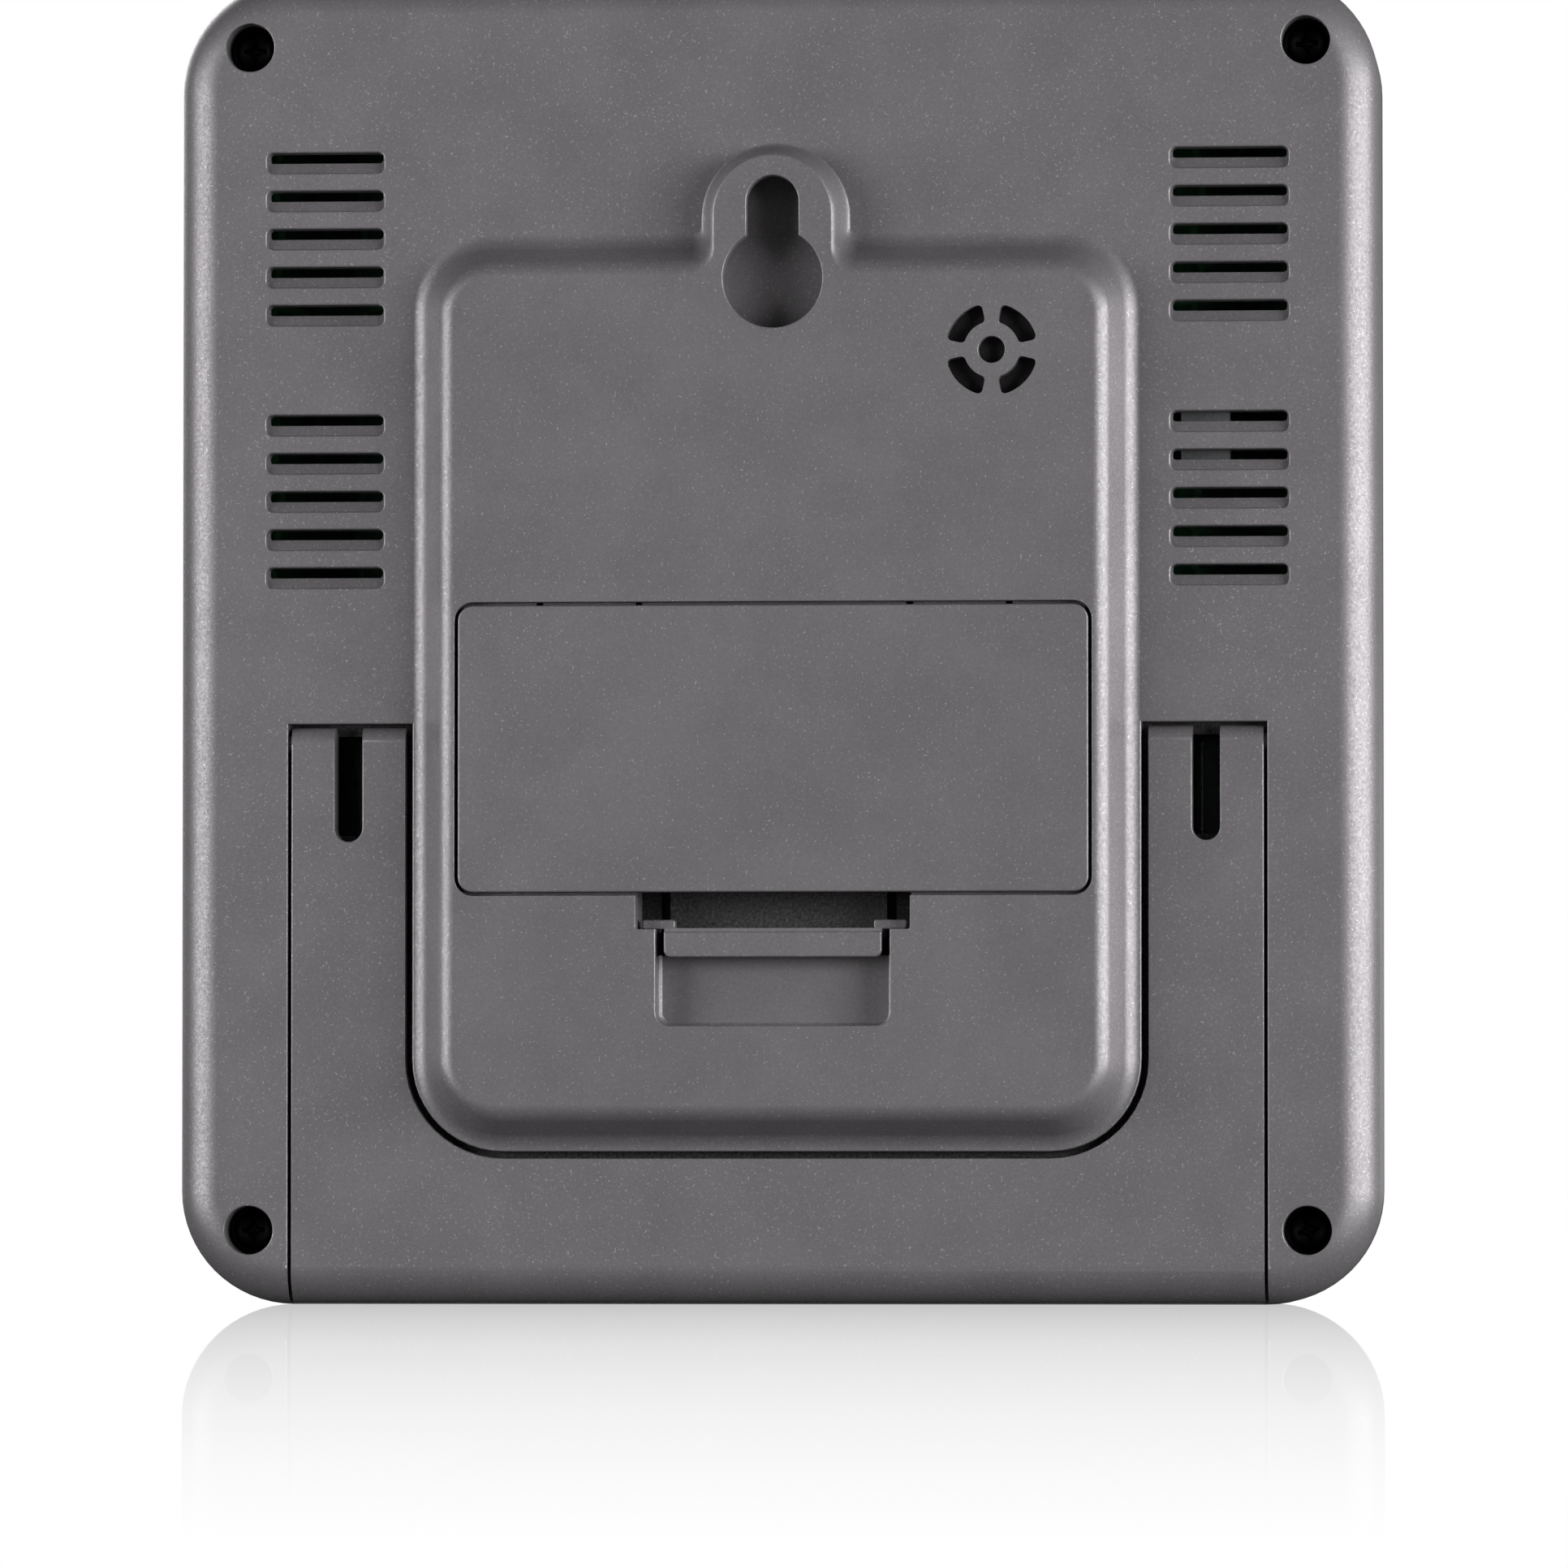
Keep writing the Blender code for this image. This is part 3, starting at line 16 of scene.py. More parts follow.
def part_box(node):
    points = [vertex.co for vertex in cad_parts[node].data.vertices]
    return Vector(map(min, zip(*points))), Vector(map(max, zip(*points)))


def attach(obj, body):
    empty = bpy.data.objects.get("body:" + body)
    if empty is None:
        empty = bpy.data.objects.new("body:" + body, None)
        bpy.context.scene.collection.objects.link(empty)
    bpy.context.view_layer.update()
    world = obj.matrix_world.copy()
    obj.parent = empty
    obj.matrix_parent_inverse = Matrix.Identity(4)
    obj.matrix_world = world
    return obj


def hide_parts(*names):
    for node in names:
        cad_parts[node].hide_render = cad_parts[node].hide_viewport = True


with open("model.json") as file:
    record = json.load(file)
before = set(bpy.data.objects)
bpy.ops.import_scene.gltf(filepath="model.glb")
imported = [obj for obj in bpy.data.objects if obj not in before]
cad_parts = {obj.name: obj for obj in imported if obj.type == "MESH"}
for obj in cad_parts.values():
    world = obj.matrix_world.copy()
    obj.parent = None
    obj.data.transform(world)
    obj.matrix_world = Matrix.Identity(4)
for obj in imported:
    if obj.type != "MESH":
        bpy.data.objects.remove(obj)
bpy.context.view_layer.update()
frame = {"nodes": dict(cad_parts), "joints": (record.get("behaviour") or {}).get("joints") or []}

# %% [markdown]
# ## Places come from the working model
# Every depth and edge is read from the boxes of the model's own nodes, so the fine shells land exactly on
# the plain ones. Only sizes that no box can tell, such as radii, are written here as named values.

# %% Places and sizes
MM = 0.001
cover_low, cover_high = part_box("rear_cover")
bezel_low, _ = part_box("front_bezel")
stand_low, stand_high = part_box("kickstand")
door_low, door_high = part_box("battery_door")
latch_low, latch_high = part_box("battery_door_latch")
window_low, window_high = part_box("display_window")
panel_low, panel_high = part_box("lcd_panel")

half_width = cover_high[0]
height = cover_high[2]
y_top = cover_high[1]              # the raised centre's face
y_rear = stand_high[1]             # the casing's back face
y_seam = cover_low[1]
y_front = bezel_low[1]
corner_radius = 9.8 * MM
wall = 2.0 * MM
gap = 0.3 * MM
joints = {joint["name"]: joint for joint in frame["joints"]}
stand_axis = Vector(joints["stand_hinge"]["pos_m"])
boss_half = 31.55 * MM
boss_low, boss_high = 13.2 * MM, height - 22.6 * MM
keyhole_z = boss_high - 4.2 * MM
print("case", 2 * half_width, "x", height, "m, raised centre", y_top - y_rear, "m")

# %% [markdown]
# ## Outlines
# Nearly every moulded piece here is a flat outline pushed along the depth, with its edges rounded. One
# function makes any outline from its corners and a radius for each; another stacks such outlines into a
# closed skin. Bevel could round the edges too, but stacked rings keep the same number of points at every
# level, so the roundings stay even where a Boolean later cuts close to them.


# %% Outlines with rounded corners
def outline(corners, radii, steps=8):
    """Points (x, z) round a polygon whose corners are rounded, each with its own radius."""
    points = []
    count = len(corners)
    for index in range(count):
        here = Vector(corners[index])
        back = (Vector(corners[index - 1]) - here).normalized()
        ahead = (Vector(corners[(index + 1) % count]) - here).normalized()
        half_angle = back.angle(ahead) / 2
        radius = max(radii[index], 1e-6)
        centre = here + (back + ahead).normalized() * radius / sin(half_angle)
        first = here + back * radius / tan(half_angle) - centre
        last = here + ahead * radius / tan(half_angle) - centre
        for step in range(steps + 1):
            share = step / steps
            spread = first.angle(last)
            spoke = (first * sin((1 - share) * spread) + last * sin(share * spread)) / sin(spread)
            points.append(centre + spoke)
    return points


def rectangle(low_x, high_x, low_z, high_z, radius, steps=8):
    """A rounded rectangle's outline; radius is one number, or one for each corner from low x and z on."""
    corners = [(low_x, low_z), (high_x, low_z), (high_x, high_z), (low_x, high_z)]
    radii = radius if isinstance(radius, (list, tuple)) else [radius] * 4
    return outline(corners, radii, steps)


def grown(low_x, high_x, low_z, high_z, radius, steps=8):
    """A function that gives the same rounded rectangle grown by any amount."""
    radii = radius if isinstance(radius, (list, tuple)) else [radius] * 4

    def at(grow):
        return rectangle(low_x - grow, high_x + grow, low_z - grow, high_z + grow,
                         [max(one + grow, 0.02 * MM) for one in radii], steps)
    return at


# %% Skins over stacked outlines
def mesh_object(name, bm, material=None):
    bmesh.ops.recalc_face_normals(bm, faces=bm.faces)
    mesh = bpy.data.meshes.new(name)
    bm.to_mesh(mesh)
    bm.free()
    thing = bpy.data.objects.new(name, mesh)
    bpy.context.scene.collection.objects.link(thing)
    if material:
        mesh.materials.append(material)
    return thing


def skin(name, rings, material=None):
    """A closed skin through rings of 3-D points that all have the same count."""
    bm = bmesh.new()
    loops = [[bm.verts.new(point) for point in ring] for ring in rings]
    for lower, upper in zip(loops, loops[1:]):
        for index in range(len(lower)):
            after = (index + 1) % len(lower)
            bm.faces.new((lower[index], lower[after], upper[after], upper[index]))
    bm.faces.new(loops[0])
    bm.faces.new(loops[-1])
    return mesh_object(name, bm, material)


def stacked(name, shape, levels, material=None):
    """A skin of one outline at several depths: each level is (y, how much the outline grows)."""
    return skin(name, [[(x, y, z) for x, z in shape(grow)] for y, grow in levels], material)


# %% Rounded ends and mouths
def rounded_end(y, radius, toward, steps=6):
    """Levels that round an outer edge into an end face at y. toward is +1 for an end that faces +Y."""
    levels = []
    for step in range(steps + 1):
        turn = pi / 2 * step / steps
        levels.append((y - toward * radius * (1 - sin(turn)), -radius * (1 - cos(turn))))
    return levels if toward > 0 else levels[::-1]


def mouth(y_deep, y_face, flare, steps=4):
    """Levels of a cutter whose mouth widens in a small round, so that the cut's edge catches the light."""
    levels = [(y_deep, 0.0)]
    for step in range(steps + 1):
        rise = flare * sin(pi / 2 * step / steps)
        levels.append((y_face - flare + rise, flare - sqrt(max(flare * flare - rise * rise, 0.0))))
    levels.append((y_face + 1.5 * MM, flare))
    return levels


def front_mouth(y_deep, y_face, flare, steps=4):
    """The same for a cut that opens towards the display side."""
    return [(2 * y_face - y, grow) for y, grow in mouth(2 * y_face - y_deep, y_face, flare, steps)]


# %% Plain blocks and rods
def solid_box(name, low, high):
    """A plain block between two corners, for ribs and rooms inside the shells."""
    shape = grown(low[0], high[0], low[2], high[2], 0.0, 1)
    return stacked(name, shape, [(low[1], 0.0), (high[1], 0.0)])


def round_rod(name, centre, radius, y_low, y_high, steps=48):
    """A round rod along the depth."""
    points = [(centre[0] + radius * cos(2 * pi * k / steps), centre[1] + radius * sin(2 * pi * k / steps))
              for k in range(steps)]
    return skin(name, [[(x, y, z) for x, z in points] for y in (y_low, y_high)])


# %% [markdown]
# ## Joining and cutting
# Booleans do what a mould does: one shell with every hole and rib in it. Each is applied at once and its
# tool removed, so a later cut sees a plain mesh. Flat faces stay flat and roundings shade smoothly because
# edges sharper than a limit are marked, and a Weighted Normal pass lets the large flats lead the shading.


# %% Boolean and shading helpers
def applied(thing):
    """Replaces an object's mesh by what its modifiers make of it."""
    graph = bpy.context.evaluated_depsgraph_get()
    mesh = bpy.data.meshes.new_from_object(thing.evaluated_get(graph))
    thing.modifiers.clear()
    thing.data = mesh
    return thing


def combine(target, operation, tools):
    for tool in tools:
        step = target.modifiers.new("cut", "BOOLEAN")
        step.operation = operation
        step.solver = "EXACT"
        step.object = tool
        bpy.context.view_layer.update()
        applied(target)
        bpy.data.objects.remove(tool)
    return target


def cut(target, *tools):
    return combine(target, "DIFFERENCE", tools)


def join(target, *tools):
    return combine(target, "UNION", tools)


def finish_shading(thing, sharp=35):
    """Welds hair-thin leftovers, marks sharp edges and weights the normals by face size."""
    bm = bmesh.new()
    bm.from_mesh(thing.data)
    bmesh.ops.remove_doubles(bm, verts=bm.verts, dist=0.002 * MM)
    bmesh.ops.dissolve_degenerate(bm, edges=bm.edges, dist=0.001 * MM)
    bm.to_mesh(thing.data)
    bm.free()
    thing.data.shade_smooth()
    thing.data.set_sharp_from_angle(angle=radians(sharp))
    weight = thing.modifiers.new("weight", "WEIGHTED_NORMAL")
    weight.keep_sharp = True
    weight.weight = 80
    bpy.context.view_layer.update()
    applied(thing)
    open_edges = sum(1 for edge in bm_edges(thing) if edge != 2)
    print(thing.name, len(thing.data.polygons), "faces,", open_edges, "edges not shared by two")
    return thing


def bm_edges(thing):
    bm = bmesh.new()
    bm.from_mesh(thing.data)
    counts = [len(edge.link_faces) for edge in bm.edges]
    bm.free()
    return counts


# %% [markdown]
# ## Finishes
# The casing is dark grey plastic from a spark-eroded mould: an even, very fine grain with a few brighter
# flecks. Noise at two scales makes the colour and the bump.
# Object coordinates keep the grain the same size on every piece.


# %% Helpers for procedural finishes
def blank(name, roughness=0.5, metallic=0.0):
    made = bpy.data.materials.new(name)
    made.use_nodes = True
    tree = made.node_tree
    shader = tree.nodes["Principled BSDF"]
    shader.inputs["Roughness"].default_value = roughness
    shader.inputs["Metallic"].default_value = metallic
    place = tree.nodes.new("ShaderNodeTexCoord")
    return made, tree, shader, place.outputs["Object"]


def noise(tree, place, scale, detail=2.0, rough=0.5):
    node = tree.nodes.new("ShaderNodeTexNoise")
    node.inputs["Scale"].default_value = scale
    node.inputs["Detail"].default_value = detail
    node.inputs["Roughness"].default_value = rough
    tree.links.new(place, node.inputs["Vector"])
    return node.outputs["Fac"]


def ramp(tree, value, stops):
    node = tree.nodes.new("ShaderNodeValToRGB")
    elements = node.color_ramp.elements
    for index, (position, colour) in enumerate(stops):
        element = elements[index] if index < 2 else elements.new(position)
        element.position = position
        element.color = (*colour, 1) if isinstance(colour, (list, tuple)) else (colour, colour, colour, 1)
    tree.links.new(value, node.inputs["Fac"])
    return node.outputs["Color"]


def mixed(tree, share, one, two, mode="MIX"):
    node = tree.nodes.new("ShaderNodeMix")
    node.data_type = "RGBA"
    node.blend_type = mode
    for value, socket in ((share, node.inputs[0]), (one, node.inputs[6]), (two, node.inputs[7])):
        if isinstance(value, bpy.types.NodeSocket):
            tree.links.new(value, socket)
        else:
            socket.default_value = (*value, 1) if isinstance(value, (list, tuple)) else value
    return node.outputs[2]


def bumped(tree, shader, value, strength, distance, base=None):
    node = tree.nodes.new("ShaderNodeBump")
    node.inputs["Strength"].default_value = strength
    node.inputs["Distance"].default_value = distance
    tree.links.new(value, node.inputs["Height"])
    if base:
        tree.links.new(base, node.inputs["Normal"])
    tree.links.new(node.outputs["Normal"], shader.inputs["Normal"])
    return node.outputs["Normal"]


# %% Moulded plastic, its paint, and painted shade inside
def bare_and_shade_mask(tree, place, depth_painted, depth_unpainted_and_shaded, fray):
    """1 where a shell's inside lies deeper than the paint reaches, 0 on its outside; it also paints the shade
    that fills the deep openings.
    """
    def vector_step(operation, first, second=None):
        node = tree.nodes.new("ShaderNodeVectorMath")
        node.operation = operation
        tree.links.new(first, node.inputs[0])
        if second is not None:
            node.inputs[1].default_value = second
        return node
    room = 8 * MM
    middle = vector_step("SUBTRACT", place, (0.0, 0.0, height / 2))
    spread = vector_step("ABSOLUTE", middle.outputs["Vector"])
    past = vector_step("SUBTRACT", spread.outputs["Vector"],
                       (half_width - 1.8 * MM - room, 1.0, height / 2 - 1.8 * MM - room))
    over = vector_step("MAXIMUM", past.outputs["Vector"], (0.0, 0.0, 0.0))
    inside = tree.nodes.new("ShaderNodeMath")
    inside.operation = "LESS_THAN"
    inside.inputs[1].default_value = room
    tree.links.new(vector_step("LENGTH", over.outputs["Vector"]).outputs["Value"], inside.inputs[0])
    split = tree.nodes.new("ShaderNodeSeparateXYZ")
    tree.links.new(place, split.inputs["Vector"])
    frayed_depth = tree.nodes.new("ShaderNodeMath")
    frayed_depth.operation = "MULTIPLY_ADD"
    frayed_depth.inputs[1].default_value = 1.2 * MM
    tree.links.new(fray, frayed_depth.inputs[0])
    tree.links.new(split.outputs["Y"], frayed_depth.inputs[2])
    deep = tree.nodes.new("ShaderNodeMapRange")
    deep.inputs["From Min"].default_value = depth_painted
    deep.inputs["From Max"].default_value = depth_unpainted_and_shaded
    tree.links.new(frayed_depth.outputs[0], deep.inputs["Value"])
    both = tree.nodes.new("ShaderNodeMath")
    both.operation = "MULTIPLY"
    tree.links.new(inside.outputs[0], both.inputs[0])
    tree.links.new(deep.outputs["Result"], both.inputs[1])
    return both.outputs[0]


def moulded_plastic(name, dark, light, fleck, roughness=0.42, grain=1.0, metallic=0.0, paint_and_shade_depth=None):
    """Spark-eroded plastic: a grain in colour and bump, with sparse bright flecks. With a paint depth, the
    metallic paint thins into near-black unpainted plastic inside, which also stands as painted shade in the
    deep openings."""
    made, tree, shader, place = blank(name, roughness, metallic)
    fine = noise(tree, place, 3600 * grain, 3.0, 0.7)
    broad = noise(tree, place, 140, 3.0, 0.6)
    flecks = noise(tree, place, 5200 * grain, 1.0, 0.5)
    body = ramp(tree, fine, [(0.30, dark), (0.70, light)])
    cloud = ramp(tree, broad, [(0.35, 0.94), (0.65, 1.05)])
    body = mixed(tree, 1.0, body, cloud, "MULTIPLY")
    mask = ramp(tree, flecks, [(0.66, 0.0), (0.74, 1.0)])
    colour = mixed(tree, mask, body, fleck)
    # Painted shade: deeper than the paint depth the colour turns near black and loses its metal, for the
    # unpainted inside and for the shade the openings hold.
    if paint_and_shade_depth:
        bare_and_shaded = bare_and_shade_mask(tree, place, *paint_and_shade_depth, fine)
        colour = mixed(tree, bare_and_shaded, colour, (0.004, 0.004, 0.004))
        tree.links.new(ramp(tree, bare_and_shaded, [(0.0, metallic), (1.0, 0.0)]), shader.inputs["Metallic"])
    tree.links.new(colour, shader.inputs["Base Color"])
    shine = ramp(tree, fine, [(0.3, roughness + 0.06), (0.7, roughness - 0.05)])
    tree.links.new(shine, shader.inputs["Roughness"])
    bumped(tree, shader, fine, 0.35, 0.00003)
    return made


# %% The object's finishes
paint_dark, paint_light, paint_fleck = (0.265, 0.252, 0.265), (0.345, 0.330, 0.345), (0.55, 0.53, 0.55)
# Depths where the paint thins out; deeper faces get near-black colour, unpainted plastic and painted shade
# together.
paint_and_shade_depth = (y_rear - 1.6 * MM, y_rear - 2.8 * MM)
grey_plastic = moulded_plastic("grey_plastic", paint_dark, paint_light, paint_fleck, 0.46, 1.0, 0.5,
                               paint_and_shade_depth)
stand_plastic = moulded_plastic("stand_plastic", paint_dark, paint_light, paint_fleck, 0.46, 1.0, 0.5)
key_plastic = moulded_plastic("key_plastic", (0.095, 0.090, 0.095), (0.130, 0.125, 0.130),
                              (0.19, 0.18, 0.19), 0.36)
black_plastic = moulded_plastic("black_plastic", (0.012, 0.012, 0.012), (0.022, 0.022, 0.022),
                                (0.04, 0.04, 0.04), 0.5)
sensor_plastic = moulded_plastic("sensor_plastic", (0.13, 0.135, 0.14), (0.19, 0.195, 0.20),
                                 (0.28, 0.28, 0.28), 0.5)
print("moulded finishes ready")

# %% [markdown]
# ## The back shell
# The real shell is one injection moulding: a shallow tray whose rim rolls over at the back, with a raised
# centre that gives the cells their depth. Its wall climbs in an S, a hollow round at the foot and a full
# round at the top, so light draws two bright lines round it with a dark one between. The keyhole's tab
# grows out of the same outline; because its wall has less room it comes out steeper by itself.

# %% Casing and raised centre
rear_round = 3.5 * MM


def casing_shape(grow):
    return grown(-half_width, half_width, 0.0, height, corner_radius, 16)(grow)


def casing_skin(name, material=None):
    levels = [(y_seam, -0.15 * MM), (y_seam + 0.15 * MM, 0.0)] + rounded_end(y_rear, rear_round, 1, 16)
    return stacked(name, casing_shape, levels, material)


boss_run = 4.0 * MM
tab_run = 1.5 * MM
tab_half = 6.5 * MM
tab_high = boss_high + 7.8 * MM
foot_corners = [(-boss_half, boss_low), (boss_half, boss_low), (boss_half, boss_high), (tab_half, boss_high),
                (tab_half, tab_high), (-tab_half, tab_high), (-tab_half, boss_high), (-boss_half, boss_high)]
foot_radii = [r * MM for r in (7.9, 7.9, 6.6, 0.7, 6.48, 6.48, 0.7, 6.6)]
face_radii = [r * MM for r in (4.0, 4.0, 3.4, 2.2, 4.98, 4.98, 2.2, 3.4)]
face_corners = []
for index, (x, z) in enumerate(foot_corners):
    side = 1 if x > 0 else -1
    on_tab = abs(x) < boss_half - 1e-6
    sink = tab_run if index in (4, 5) else boss_run
    face_corners.append((x - side * (tab_run if on_tab else boss_run),
                         z + (sink if z == boss_low else -sink)))


def s_profile(run, rise, steepest, steps=7):
    """Shares (run, rise) of a wall that starts and ends level and is straight between two equal rounds."""
    a, b = 2 * sin(steepest), cos(steepest)
    c, d = 2 * (1 - cos(steepest)), sin(steepest)
    radius = (run * d - rise * b) / (a * d - c * b)
    turns = [steepest * k / steps for k in range(steps + 1)]
    lower = [(radius * sin(t) / run, radius * (1 - cos(t)) / rise) for t in turns]
    return lower + [(1 - x, 1 - y) for x, y in lower[::-1]]


def raised_centre_skin():
    foot = outline(foot_corners, foot_radii, 12)
    face = outline(face_corners, face_radii, 12)
    rise = y_top - y_rear
    rings = [[(x, y_rear - 0.8 * MM, z) for x, z in foot]]
    for run_share, rise_share in s_profile(boss_run, rise, radians(64)):
        y = y_rear + rise * rise_share - 0.004 * MM * (1 - rise_share)
        rings.append([(f.x + (t.x - f.x) * run_share, y, f.y + (t.y - f.y) * run_share)
                      for f, t in zip(foot, face)])
    return skin("raised_centre", rings)


back_shell = casing_skin("back_shell", grey_plastic)
join(back_shell, raised_centre_skin())
print("back shell blank:", len(back_shell.data.polygons), "faces")

# %% [markdown]
# ## Rooms inside the shell
# The shell is hollow, and carries the cell tray, the latch's well, the keyhole's pocket and the tubes for
# the screws. They show only through openings, so they are plain blocks joined on and cut out, in the same
# places as in the working model.

# %% Hollow, tray, tubes and pockets
pocket_half = 25.6 * MM
door_bottom = door_low[2]
door_face_high = door_high[2] - 1.9 * MM
door_half = door_high[0]
door_under = y_top - 1.7 * MM
door_seat = door_under - gap
pocket_low, pocket_high = door_bottom + 2.2 * MM, door_face_high - 0.5 * MM
y_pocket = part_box("battery_cell_1")[0][1] - 0.35 * MM
boss_skin = 1.7 * MM
inner = half_width - wall
stand_floor = stand_low[1]
screw_spots = []
for number in range(1, 5):
    low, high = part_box(f"housing_screw_{number}")
    screw_spots.append(((low[0] + high[0]) / 2, (low[2] + high[2]) / 2))
y_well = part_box("housing_screw_1")[1][1] - 1.6 * MM
y_post = y_well - 2.3 * MM
boss_inner = boss_half - boss_run + gap

cut(back_shell,
    stacked("casing_room", grown(-inner, inner, wall, height - wall, corner_radius - wall, 6),
            [(y_seam - MM, 0.0), (y_rear - wall, 0.0)]),
    stacked("boss_room", grown(-boss_inner, boss_inner, boss_low + boss_run, boss_high - boss_run, 3 * MM, 4),
            [(y_rear - wall - MM, 0.0), (y_top - boss_skin, 0.0)]))
tab_block = tab_half - 0.8 * MM
backing = stand_floor - gap - 1.8 * MM
join(back_shell,
     solid_box("tray", (-pocket_half - MM, y_pocket - MM, door_bottom + 1.6 * MM),
               (pocket_half + MM, door_under, door_face_high + 3.9 * MM)),
     solid_box("door_rim", (-door_half + gap, y_top - 4.5 * MM, door_bottom - 1.5 * MM),
               (door_half - gap, y_top - boss_skin + gap, door_face_high + MM)),
     solid_box("latch_block", (-13.4 * MM, y_top - 9.6 * MM, door_bottom - 12.9 * MM),
               (13.4 * MM, y_top - boss_skin + gap, door_bottom + 2.2 * MM)),
     stacked("hanger_block", grown(-tab_block, tab_block, keyhole_z - 6.1 * MM, tab_high - 1.2 * MM,
                                   5 * MM, 6),
             [(y_top - 7.1 * MM, 0.0), (y_rear + MM, 0.0)]),
     solid_box("stand_backing", (-stand_high[0] - 0.6 * MM, backing, wall / 2),
               (stand_high[0] + 0.6 * MM, y_rear - wall / 2 - gap, 52.2 * MM)))
for spot in screw_spots:
    join(back_shell, round_rod("tube", spot, 2.7 * MM, y_post + gap, y_rear - wall / 2, 32))
print("back shell with rooms:", len(back_shell.data.polygons), "faces")

# %% [markdown]
# ## Openings in the back
# Each opening is cut with a tool whose mouth widens in a tiny round of a tenth or two of a millimetre. A
# real mould leaves the same soft lip, and it is what draws the bright hairline round every hole. The latch's
# slot goes 2.8 mm deeper here than in the working model, past where the paint ends, so its ends turn near
# black, which is unpainted plastic and painted shade at once.

# %% Stand recess, screw wells and door seat
lip = 0.12 * MM
stand_half = stand_high[0] - 1.4 * MM
stand_room_top = 50.2 * MM
foot_round = 7.9 * MM


def u_shape(grow, outer, high, inside, bottom, round_off):
    """The stand's U: outer edges at +-outer up to high, with the raised centre's foot left out."""
    corners = [(-outer - grow, -MM), (outer + grow, -MM), (outer + grow, high + grow),
               (inside - grow, high + grow), (inside - grow, bottom + grow),
               (-inside + grow, bottom + grow), (-inside + grow, high + grow),
               (-outer - grow, high + grow)]
    return outline(corners, [0.02 * MM] * 4 + [round_off - grow] * 2 + [0.02 * MM] * 2, 12)


def cross_rod(name, x_low, x_high, y, z, radius, steps=40):
    """A round rod along the width."""
    turns = [2 * pi * k / steps for k in range(steps)]
    ring = [(y + radius * cos(t), z + radius * sin(t)) for t in turns]
    return skin(name, [[(x, a, b) for a, b in ring] for x in (x_low, x_high)])


cut(back_shell, stacked("stand_room",
                        lambda grow: u_shape(grow, stand_half + gap, stand_room_top, boss_half, boss_low,
                                             foot_round),
                        mouth(stand_floor - gap, y_rear, lip)))
leg_middle = (stand_half + boss_half + 0.6 * MM) / 2
slot_half = 1.2 * MM
slot_low = stand_room_top - 9.6 * MM
for side in (-1, 1):
    x = side * leg_middle
    x_low, x_high = sorted((side * (stand_half - gap), side * (stand_half + 2 * MM)))
    cut(back_shell,
        solid_box("snap_window", (x - slot_half, backing - MM, slot_low),
                  (x + slot_half, y_rear - MM, 49.2 * MM)),
        cross_rod("pin_hole", x_low, x_high, stand_axis.y, stand_axis.z, 1.05 * MM))
for spot in screw_spots:
    well = grown(spot[0] - 2.1 * MM, spot[0] + 2.1 * MM, spot[1] - 2.1 * MM, spot[1] + 2.1 * MM, 2.099 * MM,
                 12)
    cut(back_shell, stacked("well", well, mouth(y_well, y_rear, lip)),
        round_rod("way", spot, 1.2 * MM, y_post - MM, y_well + MM, 24))
finger_top = door_bottom - 3.2 * MM
cut(back_shell,
    stacked("door_opening", grown(-door_half - gap, door_half + gap, door_bottom - gap, door_face_high + gap,
                                  1.6 * MM),
            mouth(door_seat, y_top, 0.06 * MM)),
    solid_box("cell_pocket", (-pocket_half, y_pocket, pocket_low),
              (pocket_half, door_seat + gap, pocket_high)),
    solid_box("latch_well", (-10.2 * MM, y_top - 8.6 * MM, door_bottom - 5.4 * MM),
              (10.2 * MM, door_seat + gap, door_bottom + 1.3 * MM)),
    stacked("latch_slot", grown(-11.85 * MM, 11.85 * MM, finger_top, door_bottom + gap, 0.2 * MM, 3),
            mouth(y_top - 7.4 * MM, y_top, 0.06 * MM)),
    stacked("finger_recess", grown(-10.1 * MM, 10.1 * MM, door_bottom - 11.5 * MM, finger_top + 0.6 * MM,
                                   [1.2 * MM, 1.2 * MM, 0.1 * MM, 0.1 * MM]),
            [(y_top - 3.7 * MM, -0.35 * MM), (y_top - 3.6 * MM, -0.2 * MM), (y_top - 3.4 * MM, 0.0)]
            + mouth(y_top - 3.2 * MM, y_top, lip)[1:]))
for side in (-1, 1):
    x_low, x_high = sorted((side * 11.4 * MM, side * 20.6 * MM))
    cut(back_shell, solid_box("tab_room", (x_low, door_seat - 2.4 * MM, door_face_high - 3 * MM),
                              (x_high, door_seat + gap / 2, door_face_high + 2.5 * MM)))
print("seats cut:", len(back_shell.data.polygons), "faces")

# %% Keyhole and buzzer grille
slot_end = keyhole_z + 6.6 * MM
key_radius, neck_half = 4.3 * MM, 2.25 * MM
pocket_floor = y_top - 5.5 * MM
cut(back_shell,
    stacked("keyhole_round", grown(-key_radius, key_radius, keyhole_z - key_radius, keyhole_z + key_radius,
                                   key_radius - 0.002 * MM, 16), mouth(pocket_floor, y_top, lip)),
    stacked("keyhole_neck", grown(-neck_half, neck_half, keyhole_z, slot_end + neck_half,
                                  [0.1 * MM, 0.1 * MM, neck_half - 0.002 * MM, neck_half - 0.002 * MM], 12),
            mouth(pocket_floor + 0.2 * MM, y_top, lip)),
    stacked("keyhole_undercut", grown(-4.6 * MM, 4.6 * MM, keyhole_z - 0.3 * MM, slot_end + 3.2 * MM,
                                      [0.1 * MM, 0.1 * MM, 4.4 * MM, 4.4 * MM], 10),
            [(pocket_floor + 0.1 * MM, 0.0), (y_top - boss_skin, 0.0)]))

grille_x = (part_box("buzzer")[0][0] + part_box("buzzer")[1][0]) / 2
grille_z = (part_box("buzzer")[0][2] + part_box("buzzer")[1][2]) / 2
grille_in, grille_out, bridge = 2.4 * MM, 4.0 * MM, 1.4 * MM


